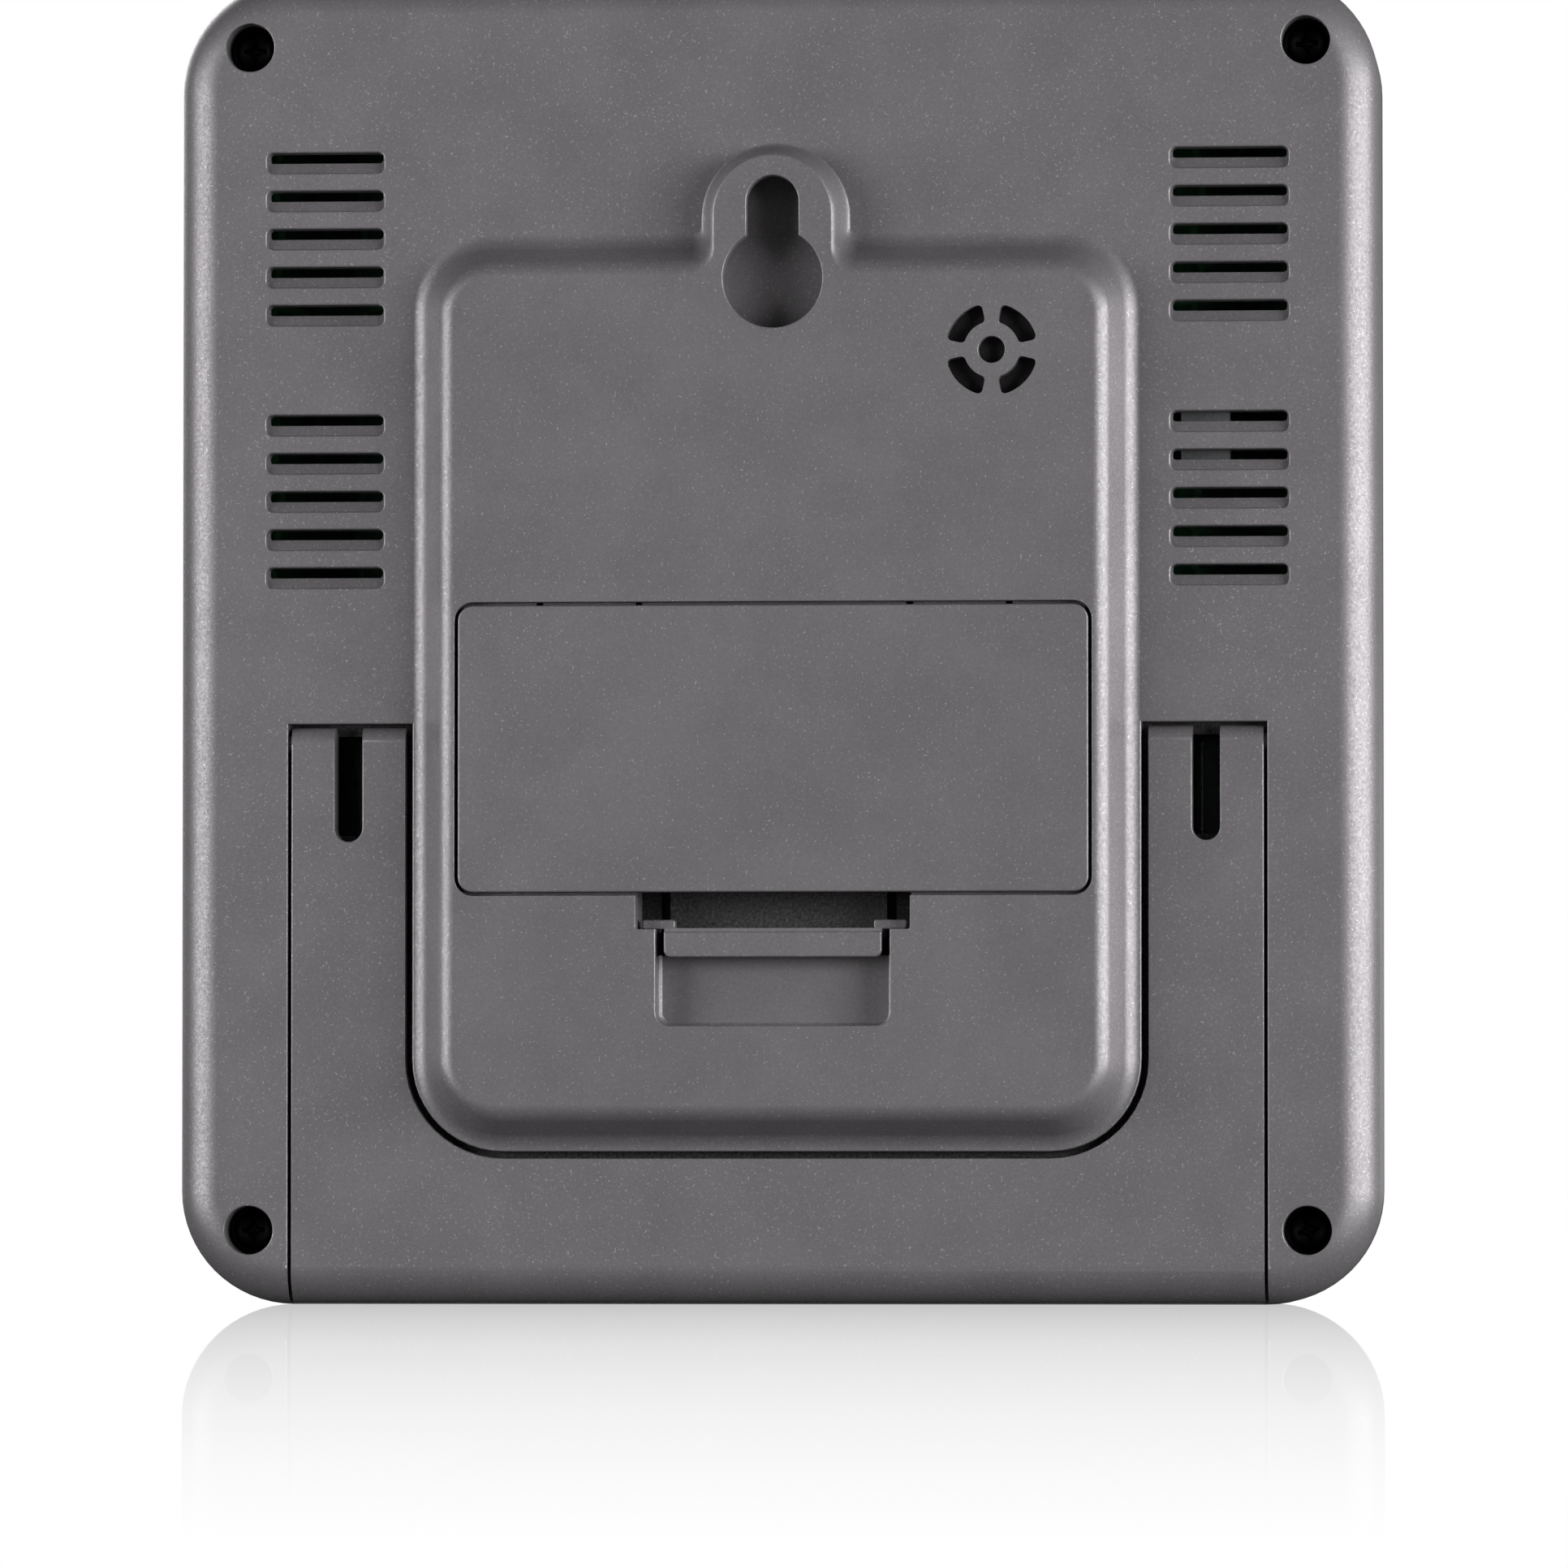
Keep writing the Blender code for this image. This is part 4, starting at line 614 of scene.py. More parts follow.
def bowed_slot(middle_turn):
    """A slot bent round the grille's middle: a rounded rectangle rolled onto an arc."""
    middle = (grille_in + grille_out) / 2
    reach = middle * pi / 4 - bridge / 2

    def at(grow):
        flat = rectangle(-reach - grow, reach + grow, grille_in - grow, grille_out + grow, 0.4 * MM + grow, 4)
        points = []
        for index, point in enumerate(flat):
            after = flat[(index + 1) % len(flat)]
            parts = max(1, round((after - point).length / (0.3 * MM)))
            points += [point.lerp(after, k / parts) for k in range(parts)]
        rolled = [(middle_turn + p.x / middle, p.y) for p in points]
        return [(grille_x + r * cos(t), grille_z + r * sin(t)) for t, r in rolled]
    return at


for quarter in range(4):
    shape = bowed_slot(pi / 4 + quarter * pi / 2)
    levels = [(y_top - boss_skin - MM, 0.0), (y_top + MM, 0.0)]
    cut(back_shell, stacked("grille_slot", shape, levels))
cut(back_shell, stacked("grille_middle", grown(grille_x - 1.15 * MM, grille_x + 1.15 * MM,
                                               grille_z - 1.15 * MM,
                                               grille_z + 1.15 * MM, 1.148 * MM, 8),
                        mouth(y_top - boss_skin - MM, y_top, 0.08 * MM)))
print("keyhole and grille cut:", len(back_shell.data.polygons), "faces")

# %% [markdown]
# ## Vents by Geometry Nodes
# Twenty equal slots in four groups let room air reach the sensor. A Geometry Nodes tree sets one slot's
# cutting tool out in rows and groups, so the count, the pitch and the groups' places stay inputs that can
# be changed later. An Array modifier could do one group; the tree does all four at once.


# %% Node helpers
def new_tree(name, inputs):
    """A geometry node group with named inputs: {name: (socket type, value)}."""
    group = bpy.data.node_groups.new(name, "GeometryNodeTree")
    group.interface.new_socket("Geometry", in_out="INPUT", socket_type="NodeSocketGeometry")
    for label, (kind, value) in inputs.items():
        socket = group.interface.new_socket(label, in_out="INPUT", socket_type=kind)
        if value is not None:
            socket.default_value = value
    group.interface.new_socket("Geometry", in_out="OUTPUT", socket_type="NodeSocketGeometry")
    return group


def run_tree(carrier, group, values):
    """Runs a tree on an object, sets its inputs by identifier, and keeps the result as a plain mesh."""
    modifier = carrier.modifiers.new("nodes", "NODES")
    modifier.node_group = group
    for item in group.interface.items_tree:
        if item.item_type == "SOCKET" and item.in_out == "INPUT" and item.name in values:
            modifier[item.identifier] = values[item.name]
    bpy.context.view_layer.update()
    graph = bpy.context.evaluated_depsgraph_get()
    mesh = bpy.data.meshes.new_from_object(carrier.evaluated_get(graph))
    carrier.modifiers.clear()
    made = bpy.data.objects.new(carrier.name + "_made", mesh)
    bpy.context.scene.collection.objects.link(made)
    return made


def add_node(group, kind, **settings):
    node = group.nodes.new(kind)
    for name, value in settings.items():
        setattr(node, name, value)
    return node


def end_tree(group, geometry, material):
    """Leads geometry to the group's output as real faces with a finish."""
    real = add_node(group, "GeometryNodeRealizeInstances")
    paint = add_node(group, "GeometryNodeSetMaterial")
    paint.inputs["Material"].default_value = material
    end = add_node(group, "NodeGroupOutput")
    group.links.new(geometry, real.inputs["Geometry"])
    group.links.new(real.outputs["Geometry"], paint.inputs["Geometry"])
    group.links.new(paint.outputs["Geometry"], end.inputs["Geometry"])
    return group


def point_cloud(name, places):
    mesh = bpy.data.meshes.new(name)
    mesh.from_pydata([tuple(place) for place in places], [], [])
    thing = bpy.data.objects.new(name, mesh)
    bpy.context.scene.collection.objects.link(thing)
    return thing


def drop(*things):
    for thing in things:
        bpy.data.objects.remove(thing)


# %% The vent tree and its cuts
def row_tree():
    """Sets a piece out in a row of Count at Pitch, at every point of the carrier."""
    group = new_tree("rows_of_pieces", {"Piece": ("NodeSocketObject", None), "Count": ("NodeSocketInt", 5),
                                        "Pitch": ("NodeSocketFloat", 3.31 * MM)})
    start = add_node(group, "NodeGroupInput")
    line = add_node(group, "GeometryNodeMeshLine", mode="OFFSET")
    step = add_node(group, "ShaderNodeCombineXYZ")
    rows = add_node(group, "GeometryNodeInstanceOnPoints")
    real_rows = add_node(group, "GeometryNodeRealizeInstances")
    piece = add_node(group, "GeometryNodeObjectInfo")
    pieces = add_node(group, "GeometryNodeInstanceOnPoints")
    link = group.links.new
    link(start.outputs["Pitch"], step.inputs["Z"])
    link(start.outputs["Count"], line.inputs["Count"])
    link(step.outputs["Vector"], line.inputs["Offset"])
    link(start.outputs["Geometry"], rows.inputs["Points"])
    link(line.outputs["Mesh"], rows.inputs["Instance"])
    link(rows.outputs["Instances"], real_rows.inputs["Geometry"])
    link(start.outputs["Piece"], piece.inputs["Object"])
    link(real_rows.outputs["Geometry"], pieces.inputs["Points"])
    link(piece.outputs["Geometry"], pieces.inputs["Instance"])
    return end_tree(group, pieces.outputs["Instances"], grey_plastic)


vent_wide, vent_tall, vent_pitch, vent_count = 10.2 * MM, 1.77 * MM, 3.31 * MM, 5
vent_groups = [(side * (half_width - 12.8 * MM), 0.0, height - inset - (vent_count - 1) / 2 * vent_pitch)
               for side in (-1, 1) for inset in (22.9 * MM, 45.7 * MM)]
vent_shape = grown(-vent_wide / 2, vent_wide / 2, -vent_tall / 2, vent_tall / 2, 0.55 * MM, 5)
floor_ring = [(x, y_rear - 0.34 * MM - (z + vent_tall / 2) * 0.55, z) for x, z in vent_shape(-0.03 * MM)]
vent_mouth = mouth(y_rear - 0.3 * MM, y_rear, 0.16 * MM)[1:]
ledge_tool = skin("ledge_tool",
                  [floor_ring] + [[(x, y, z) for x, z in vent_shape(grow)] for y, grow in vent_mouth])
way_tool = stacked("way_tool", grown(-vent_wide / 2 + 0.15 * MM, vent_wide / 2 - 0.15 * MM, 0.0,
                                     vent_tall / 2 - 0.03 * MM, 0.3 * MM, 4),
                   [(y_rear - wall - MM, 0.0), (y_rear - 0.2 * MM, 0.0)])
vent_tree = row_tree()
for tool in (ledge_tool, way_tool):
    carrier = point_cloud("vent_groups", vent_groups)
    tools = run_tree(carrier, vent_tree, {"Piece": tool, "Count": vent_count, "Pitch": vent_pitch})
    drop(carrier)
    print(tool.name, "set out:", len(tools.data.polygons), "faces")
    cut(back_shell, tools)
drop(ledge_tool, way_tool)
finish_shading(back_shell)
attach(back_shell, "root")
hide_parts("rear_cover")

# %% [markdown]
# ## The stand
# A U-shaped plate lies flush in its recess and swings out on two small pins. Slots at the tops of its legs
# make the pin ends springy enough to snap in. Its lower edge continues the casing's rounded rim, so the
# plate is cut by the casing's own skin.

# %% Kickstand
stand = stacked("stand_plate",
                lambda grow: u_shape(grow, stand_half, stand_axis.z - grow, boss_half + 0.6 * MM,
                                     boss_low - 0.6 * MM, foot_round + 0.6 * MM),
                [(stand_floor, 0.0)] + rounded_end(y_rear, 0.14 * MM, 1, 4), stand_plastic)
for side in (-1, 1):
    x_low, x_high = sorted((side * (boss_half + 0.62 * MM), side * (stand_half - 0.02 * MM)))
    join(stand, cross_rod("leg_round", x_low, x_high, stand_axis.y, stand_axis.z, (y_rear - stand_floor) / 2,
                          64))
combine(stand, "INTERSECT", [casing_skin("casing_again")])
cut(stand, solid_box("foot_trim", (-1, -1, -1), (1, 1, stand_low[2])))
for side in (-1, 1):
    x = side * leg_middle
    slot_shape = grown(x - slot_half, x + slot_half, slot_low - slot_half / 2, 52 * MM,
                       [slot_half - 0.002 * MM, slot_half - 0.002 * MM, 0.1 * MM, 0.1 * MM], 10)
    cut(stand, stacked("leg_slot", slot_shape, mouth(stand_floor - MM, y_rear, lip)))
    x_low, x_high = sorted((side * (stand_half - gap), side * stand_high[0]))
    join(stand, cross_rod("pin", x_low, x_high, stand_axis.y, stand_axis.z, 0.8 * MM))
finish_shading(stand)
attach(stand, "stand")
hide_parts("kickstand")
print("stand:", len(stand.data.polygons), "faces")

# %% [markdown]
# ## The battery door and its latch
# The door lies flush with the raised centre, held by two tabs at its top and one springy latch at its
# bottom. On the real clock the latch is moulded on the door as a thin U; a thumb in the recess pulls its
# lip up. It is a piece of its own here because it bends while the door stays straight.

# %% Battery door
door = stacked("door_plate", grown(-door_half, door_half, door_bottom, door_face_high, 1.3 * MM, 8),
               [(door_under, 0.0)] + rounded_end(y_top, 0.16 * MM, 1, 5), grey_plastic)
tab_top = door_under - gap
for side in (-1, 1):
    x_low, x_high = sorted((side * 12 * MM, side * 20 * MM))
    join(door,
         solid_box("tab_root", (x_low, tab_top - 1.2 * MM, door_face_high - 2 * MM),
                   (x_high, door_under + gap, door_face_high - 0.7 * MM)),
         solid_box("tab", (x_low + 0.01 * MM, tab_top - 1.19 * MM, door_face_high - MM),
                   (x_high - 0.01 * MM, tab_top, door_high[2])))
latch_axis = Vector(joints["latch_flex"]["pos_m"])
latch_half = 9.4 * MM
join(door, solid_box("door_leg", (-latch_half, latch_axis.y + gap, door_bottom + 0.1 * MM),
                     (latch_half, door_under + gap, door_bottom + MM)))
finish_shading(door)
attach(door, "door")
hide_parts("battery_door")
print("door:", len(door.data.polygons), "faces")

# %% Latch
leg_low = door_bottom - 4 * MM
leg_top = leg_low + 0.9 * MM
lip_face = latch_high[1]
latch = solid_box("door_latch", (-latch_half, latch_low[1], leg_low),
                  (latch_half, latch_low[1] + 0.9 * MM, door_bottom + MM))
latch.data.materials.append(grey_plastic)
lip_low = latch_low[2]
lip_corners = [0.6 * MM, 0.6 * MM, 0.05 * MM, 0.05 * MM]
join(latch,
     solid_box("leg", (-latch_half + 0.01 * MM, latch_low[1] + gap, leg_low + 0.01 * MM),
               (latch_half - 0.01 * MM, lip_face - 0.5 * MM, leg_top)),
     stacked("lip", grown(-latch_half, latch_half, lip_low, lip_low + 2.2 * MM, lip_corners, 6),
             [(lip_face - MM, -0.08 * MM), (lip_face - 0.9 * MM, 0.0)]
             + rounded_end(lip_face, 0.16 * MM, 1, 4)))
for side in (-1, 1):
    x_low, x_high = sorted((side * (latch_half - 0.8 * MM), side * 11.4 * MM))
    join(latch, stacked("shoulder", grown(x_low, x_high, finger_top + 0.04 * MM, leg_top + 0.75 * MM,
                                          0.2 * MM, 3),
                        [(y_top - 3.9 * MM, 0.0)] + rounded_end(y_top - 2.2 * MM, 0.12 * MM, 1, 3)))
finish_shading(latch)
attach(latch, "latch")
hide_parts("battery_door_latch")
print("latch:", len(latch.data.polygons), "faces")

# %% [markdown]
# ## Case screws
# Four black self-tapping screws with a cross recess hold the two shells together. One is modelled, and a
# Geometry Nodes tree puts it at the four places with a turn of its own, since nobody lines up the crosses.
# The cross is a real cut: a normal map would not darken the way its deep corners do.

# %% Materials for metal parts
def metal(name, dark, light, roughness, scale=2200, streak=1.0):
    """Plated or blackened metal: cloudy colour, uneven shine and a faint drawn grain."""
    made, tree, shader, place = blank(name, roughness, 1.0)
    stretch = tree.nodes.new("ShaderNodeMapping")
    stretch.inputs["Scale"].default_value = (1.0, streak, 1.0)
    tree.links.new(place, stretch.inputs["Vector"])
    cloud = noise(tree, place, scale / 8, 3.0)
    grain = noise(tree, stretch.outputs["Vector"], scale, 4.0, 0.6)
    tree.links.new(ramp(tree, cloud, [(0.3, dark), (0.7, light)]), shader.inputs["Base Color"])
    tree.links.new(ramp(tree, grain, [(0.3, roughness + 0.12), (0.7, roughness - 0.06)]),
                   shader.inputs["Roughness"])
    bumped(tree, shader, grain, 0.2, 0.00002)
    return made


black_screw = metal("black_screw", (0.010, 0.009, 0.010), (0.024, 0.022, 0.024), 0.38)
black_screw.node_tree.nodes["Principled BSDF"].inputs["Metallic"].default_value = 0.7
nickel_steel = metal("nickel_steel", (0.50, 0.48, 0.44), (0.72, 0.70, 0.66), 0.28, streak=0.2)


# %% Turned bodies
def turned(name, profile, axis, start, steps, material):
    """A closed turned body: (radius, distance) points run from one pole to the other along an axis."""
    along = Vector(axis).normalized()
    across = along.orthogonal().normalized()
    third = along.cross(across)
    bm = bmesh.new()
    loops = []
    for radius, distance in profile:
        middle = Vector(start) + along * distance
        if radius < 1e-7:
            loops.append([bm.verts.new(middle)])
            continue
        turns = [2 * pi * k / steps for k in range(steps)]
        loops.append([bm.verts.new(middle + (across * cos(t) + third * sin(t)) * radius) for t in turns])
    for one, two in zip(loops, loops[1:]):
        for k in range(steps):
            after = (k + 1) % steps
            corners = [one[k % len(one)], one[after % len(one)], two[after % len(two)], two[k % len(two)]]
            bm.faces.new(list(dict.fromkeys(corners)))
    return mesh_object(name, bm, material)


# %% One screw
screw_low, screw_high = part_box("housing_screw_1")
head_radius = 1.75 * MM
head_height = 1.3 * MM
y_head = screw_high[1]
shank = [(0.9 * MM, y_well + 0.3 * MM - y_head), (0.9 * MM, screw_low[1] + 1.1 * MM - y_head),
         (0.27 * MM, screw_low[1] - y_head), (0.0, screw_low[1] - y_head)]
crown = [(0.0, 0.0), (head_radius * 0.5, -0.03 * MM), (head_radius * 0.75, -0.14 * MM),
         (head_radius * 0.9, -0.32 * MM), (head_radius * 0.985, -0.6 * MM), (head_radius, -0.85 * MM),
         (head_radius, -head_height + 0.05 * MM), (head_radius - 0.06 * MM, -head_height)]
screw = turned("case_screw", crown + shank, (0, 1, 0), (0, y_head, 0), 48, black_screw)
reach, half_bar = 1.12 * MM, 0.24 * MM
for wide, tall in ((reach, half_bar), (half_bar, reach)):
    corners = ((-wide, -tall), (wide, -tall), (wide, tall), (-wide, tall))
    bar = skin("bar", [[(x * k, y, z * k) for x, z in corners]
                       for y, k in ((y_head - 0.85 * MM, 0.45), (y_head + 0.1 * MM, 1.0))])
    cut(screw, bar)
cut(screw, turned("recess_cone", [(0.0, -0.95 * MM), (0.25 * MM, -0.8 * MM), (0.62 * MM, 0.1 * MM),
                                 (0.0, 0.1 * MM)],
                  (0, 1, 0), (0, y_head, 0), 24, None))
finish_shading(screw, 40)

print("screw:", len(screw.data.polygons), "faces")


# %% The screws at their places
def spread_tree(seed):
    """Sets a piece on every point of the carrier, each with its own turn about the depth."""
    group = new_tree("turned_pieces", {"Piece": ("NodeSocketObject", None),
                                       "Turn": ("NodeSocketFloat", 2 * pi),
                                       "Seed": ("NodeSocketInt", seed)})
    start = add_node(group, "NodeGroupInput")
    piece = add_node(group, "GeometryNodeObjectInfo")
    chance = add_node(group, "FunctionNodeRandomValue", data_type="FLOAT")
    turn = add_node(group, "ShaderNodeCombineXYZ")
    pieces = add_node(group, "GeometryNodeInstanceOnPoints")
    link = group.links.new
    link(start.outputs["Piece"], piece.inputs["Object"])
    link(start.outputs["Turn"], chance.inputs["Max"])
    link(start.outputs["Seed"], chance.inputs["Seed"])
    link(chance.outputs["Value"], turn.inputs["Y"])
    link(start.outputs["Geometry"], pieces.inputs["Points"])
    link(piece.outputs["Geometry"], pieces.inputs["Instance"])
    link(turn.outputs["Vector"], pieces.inputs["Rotation"])
    return end_tree(group, pieces.outputs["Instances"], black_screw)


carrier = point_cloud("screw_places", [(x, 0.0, z) for x, z in screw_spots])
case_screws = run_tree(carrier, spread_tree(5), {"Piece": screw, "Turn": 2 * pi, "Seed": 5})
case_screws.name = "case_screws"
drop(carrier, screw)
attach(case_screws, "root")
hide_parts("housing_screw_1", "housing_screw_2", "housing_screw_3", "housing_screw_4")
print("screws:", len(case_screws.data.polygons), "faces at", len(screw_spots), "places")

# %% [markdown]
# ## The front shell
# The display side is a frame of the same plastic with a shallow seat for the window and five holes for the
# keys. It cannot be seen from behind, so its layout is the plain one such clocks usually have.

# %% Front bezel
front_round = 2.0 * MM
seam_plane = y_front + 6.2 * MM
frame_plastic = moulded_plastic("bezel_plastic", (0.112, 0.107, 0.112), (0.160, 0.153, 0.160),
                                (0.27, 0.26, 0.27))
bezel = stacked("front_shell", casing_shape,
                rounded_end(y_front, front_round, -1, 12) + [(seam_plane - 0.15 * MM, 0.0),
                                                             (seam_plane, -0.15 * MM)],
                frame_plastic)
y_seat = window_high[1] + gap
view_low_z, view_high_z = window_low[2] + 4.5 * MM, window_high[2] - 4.5 * MM
view_half = window_high[0] - 4.5 * MM
cut(bezel, stacked("bezel_room", grown(-inner, inner, wall, height - wall, corner_radius - wall, 8),
                   [(y_front + wall, 0.0), (seam_plane + MM, 0.0)]))
board_spots = []
for number in range(1, 5):
    low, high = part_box(f"board_screw_{number}")
    board_spots.append(((low[0] + high[0]) / 2, (low[2] + high[2]) / 2))
board_low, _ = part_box("main_board")
for spot in screw_spots:
    join(bezel, round_rod("post", spot, 2.4 * MM, y_front + wall / 2, y_post, 32))
    cut(bezel, round_rod("bore", spot, 1.2 * MM, y_front + wall + gap, y_post + MM, 24))
for spot in board_spots:
    join(bezel, round_rod("board_post", spot, 1.9 * MM, y_front + wall / 2, board_low[1] - gap, 24))
    cut(bezel, round_rod("bore", spot, 0.9 * MM, y_front + wall + gap, board_low[1], 16))
cut(bezel,
    stacked("window_seat", grown(-window_high[0] - gap, window_high[0] + gap, window_low[2] - gap,
                                 window_high[2] + gap, 2.3 * MM), front_mouth(y_seat, y_front, lip)),
    stacked("view_opening", grown(-view_half, view_half, view_low_z, view_high_z, MM, 4),
            [(y_front - 2 * MM, 0.0), (y_front + wall + MM, 0.0)]))
key_boxes = [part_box(f"key_cap_{number}") for number in range(1, 6)]
key_half_x, key_half_z = 5 * MM, 2.5 * MM
key_z = (key_boxes[0][0][2] + key_boxes[0][1][2]) / 2
key_places = [(low[0] + high[0]) / 2 for low, high in key_boxes]
for x in key_places:
    cut(bezel, stacked("key_hole", grown(x - key_half_x - gap, x + key_half_x + gap, key_z - key_half_z - gap,
                                         key_z + key_half_z + gap, 1.3 * MM, 6),
                       front_mouth(y_front + wall + MM, y_front, lip)))
finish_shading(bezel)
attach(bezel, "root")
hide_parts("front_bezel")
print("front shell:", len(bezel.data.polygons), "faces")

# %% [markdown]
# ## Keys
# Five low keys stand half a millimetre off the frame. Their marks are raised signs that any clock could
# carry: minus, plus, a bell, a lamp and a round dot. Each is a thin relief on the cap, so it moves with it.


# %% Signs for the keys
def bar_outline(x, z, wide, tall):
    return rectangle(x - wide / 2, x + wide / 2, z - tall / 2, z + tall / 2, min(wide, tall) * 0.45, 4)


def disc_outline(x, z, radius, steps=24):
    turns = [2 * pi * k / steps for k in range(steps)]
    return [Vector((x + radius * cos(t), z + radius * sin(t))) for t in turns]


def bell_outline(x, z, size):
    right = [(0.10, 0.95), (0.42, 0.78), (0.55, 0.40), (0.60, -0.25), (0.95, -0.60), (0.95, -0.72)]
    points = right + [(-px, pz) for px, pz in right[::-1]]
    return [Vector((x + px * size, z + pz * size)) for px, pz in points][::-1]


def sign_outlines(number, x, z):
    size = 1.15 * MM
    if number == 1:
        return [bar_outline(x, z, 2 * size, 0.36 * size)]
    if number == 2:
        arm, thick = size, 0.18 * size
        cross = [(-arm, -thick), (-thick, -thick), (-thick, -arm), (thick, -arm), (thick, -thick),
                 (arm, -thick), (arm, thick), (thick, thick), (thick, arm), (-thick, arm),
                 (-thick, thick), (-arm, thick)]
        return [[Vector((x + px, z + pz)) for px, pz in cross]]
    if number == 3:
        return [bell_outline(x, z, size), disc_outline(x, z - size, 0.2 * size, 12)]
    if number == 4:
        rays = [disc_outline(x + 1.1 * size * cos(k * pi / 3), z + 1.1 * size * sin(k * pi / 3),
                             0.14 * size, 8)
                for k in range(6)]
        return [disc_outline(x, z, 0.62 * size)] + rays
    return [disc_outline(x, z, 0.55 * size)]


# %% Key caps with their signs
mark_paint = moulded_plastic("key_mark", (0.62, 0.62, 0.62), (0.78, 0.78, 0.78), (0.88, 0.88, 0.88), 0.4)
y_keys, y_key_back = key_boxes[0][0][1], key_boxes[0][1][1]
relief = 0.08 * MM
for number, x in enumerate(key_places, 1):
    cap = stacked(f"key_{number}_cap", grown(x - key_half_x, x + key_half_x, key_z - key_half_z,
                                             key_z + key_half_z, MM, 6),
                  rounded_end(y_keys + relief, 0.25 * MM, -1, 5) + [(y_key_back - 0.3 * MM, 0.0)],
                  key_plastic)
    join(cap, solid_box("flange", (x - key_half_x - 0.8 * MM, y_key_back - 0.6 * MM,
                                   key_z - key_half_z - 0.8 * MM),
                        (x + key_half_x + 0.8 * MM, y_key_back, key_z + key_half_z + 0.8 * MM)))
    finish_shading(cap)
    bm = bmesh.new()
    for points in sign_outlines(number, x, key_z):
        rings = [[bm.verts.new((p.x, y, p.y)) for p in points] for y in (y_keys, y_keys + relief + 0.05 * MM)]
        for k in range(len(points)):
            after = (k + 1) % len(points)
            bm.faces.new((rings[0][k], rings[0][after], rings[1][after], rings[1][k]))
        bm.faces.new(rings[0])
        bm.faces.new(rings[1])
    sign = mesh_object(f"key_{number}_sign", bm, mark_paint)
    for piece in (cap, sign):
        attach(piece, f"key_{number}")
    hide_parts(f"key_cap_{number}")
print("keys:", len(key_places))

# %% [markdown]
# ## Window and display
# A clear plate with a dark printed border lies over a liquid-crystal panel. The panel's digits are
# thin dark segments. A Geometry Nodes tree lays one six-sided segment on a point for every lit one, so a
# new reading only needs new points. The values shown are made up.

# %% Window
def box_mask(tree, place, half_x, low_z, high_z):
    """1 inside a rectangle of the object's x and z, 0 outside."""
    split = tree.nodes.new("ShaderNodeSeparateXYZ")
    tree.links.new(place, split.inputs["Vector"])
    share = None
    for output, centre, half in (("X", 0.0, half_x), ("Z", (low_z + high_z) / 2, (high_z - low_z) / 2)):
        near = tree.nodes.new("ShaderNodeMath")
        near.operation = "COMPARE"
        near.inputs[1].default_value = centre
        near.inputs[2].default_value = half
        tree.links.new(split.outputs[output], near.inputs[0])
        if share is None:
            share = near.outputs[0]
            continue
        both = tree.nodes.new("ShaderNodeMath")
        both.operation = "MULTIPLY"
        tree.links.new(share, both.inputs[0])
        tree.links.new(near.outputs[0], both.inputs[1])
        share = both.outputs[0]
    return share


def window_finish():
    made, tree, shader, place = blank("clear_window", 0.04)
    shader.inputs["IOR"].default_value = 1.49
    clear = box_mask(tree, place, view_half - MM, view_low_z + MM, view_high_z - MM)
    smear = noise(tree, place, 90, 3.0)
    tree.links.new(mixed(tree, clear, (0.010, 0.010, 0.011), (0.96, 0.98, 0.97)), shader.inputs["Base Color"])
    tree.links.new(clear, shader.inputs["Transmission Weight"])
    tree.links.new(ramp(tree, smear, [(0.35, 0.02), (0.75, 0.07)]), shader.inputs["Roughness"])
    return made


window_plate = stacked("window_plate", grown(window_low[0], window_high[0], window_low[2], window_high[2],
                                             2 * MM, 10),
                       rounded_end(window_low[1], 0.15 * MM, -1, 4) + [(window_high[1], 0.0)],
                       window_finish())
finish_shading(window_plate)
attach(window_plate, "root")
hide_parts("display_window")
print("window:", window_low, window_high)


# %% Panel
def panel_finish():
    made, tree, shader, place = blank("lcd_glass", 0.22)
    broad = noise(tree, place, 40, 3.0)
    weave = noise(tree, place, 5000, 1.0)
    field = ramp(tree, broad, [(0.3, (0.40, 0.44, 0.38)), (0.7, (0.47, 0.51, 0.44))])
    edge = box_mask(tree, place, panel_high[0] - 0.8 * MM, panel_low[2] + 0.8 * MM, panel_high[2] - 0.8 * MM)
    tree.links.new(mixed(tree, edge, (0.20, 0.23, 0.21), field), shader.inputs["Base Color"])
    bumped(tree, shader, weave, 0.15, 0.000008)
    shader.inputs["Coat Weight"].default_value = 0.6
    shader.inputs["Coat Roughness"].default_value = 0.08
    return made


def ink_finish():
    made, tree, shader, place = blank("lcd_ink", 0.35)
    cells = noise(tree, place, 2500, 2.0)
    tree.links.new(ramp(tree, cells, [(0.3, (0.016, 0.018, 0.022)), (0.7, (0.030, 0.032, 0.038))]),
                   shader.inputs["Base Color"])
    return made


y_ink = panel_low[1]
glass = stacked("lcd_panel_glass", grown(panel_low[0], panel_high[0], panel_low[2], panel_high[2], 0.4 * MM,
                                         4),
                [(y_ink + 0.04 * MM, 0.0), (panel_high[1] - 0.05 * MM, 0.0), (panel_high[1], -0.05 * MM)],
                panel_finish())
finish_shading(glass)
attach(glass, "root")
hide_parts("lcd_panel")
print("panel:", panel_low, panel_high)

# %% Where the lit segments lie
SEGMENTS = {"0": "abcdef", "1": "bc", "2": "abged", "3": "abgcd", "4": "fgbc", "5": "afgcd", "8": "abcdefg"}


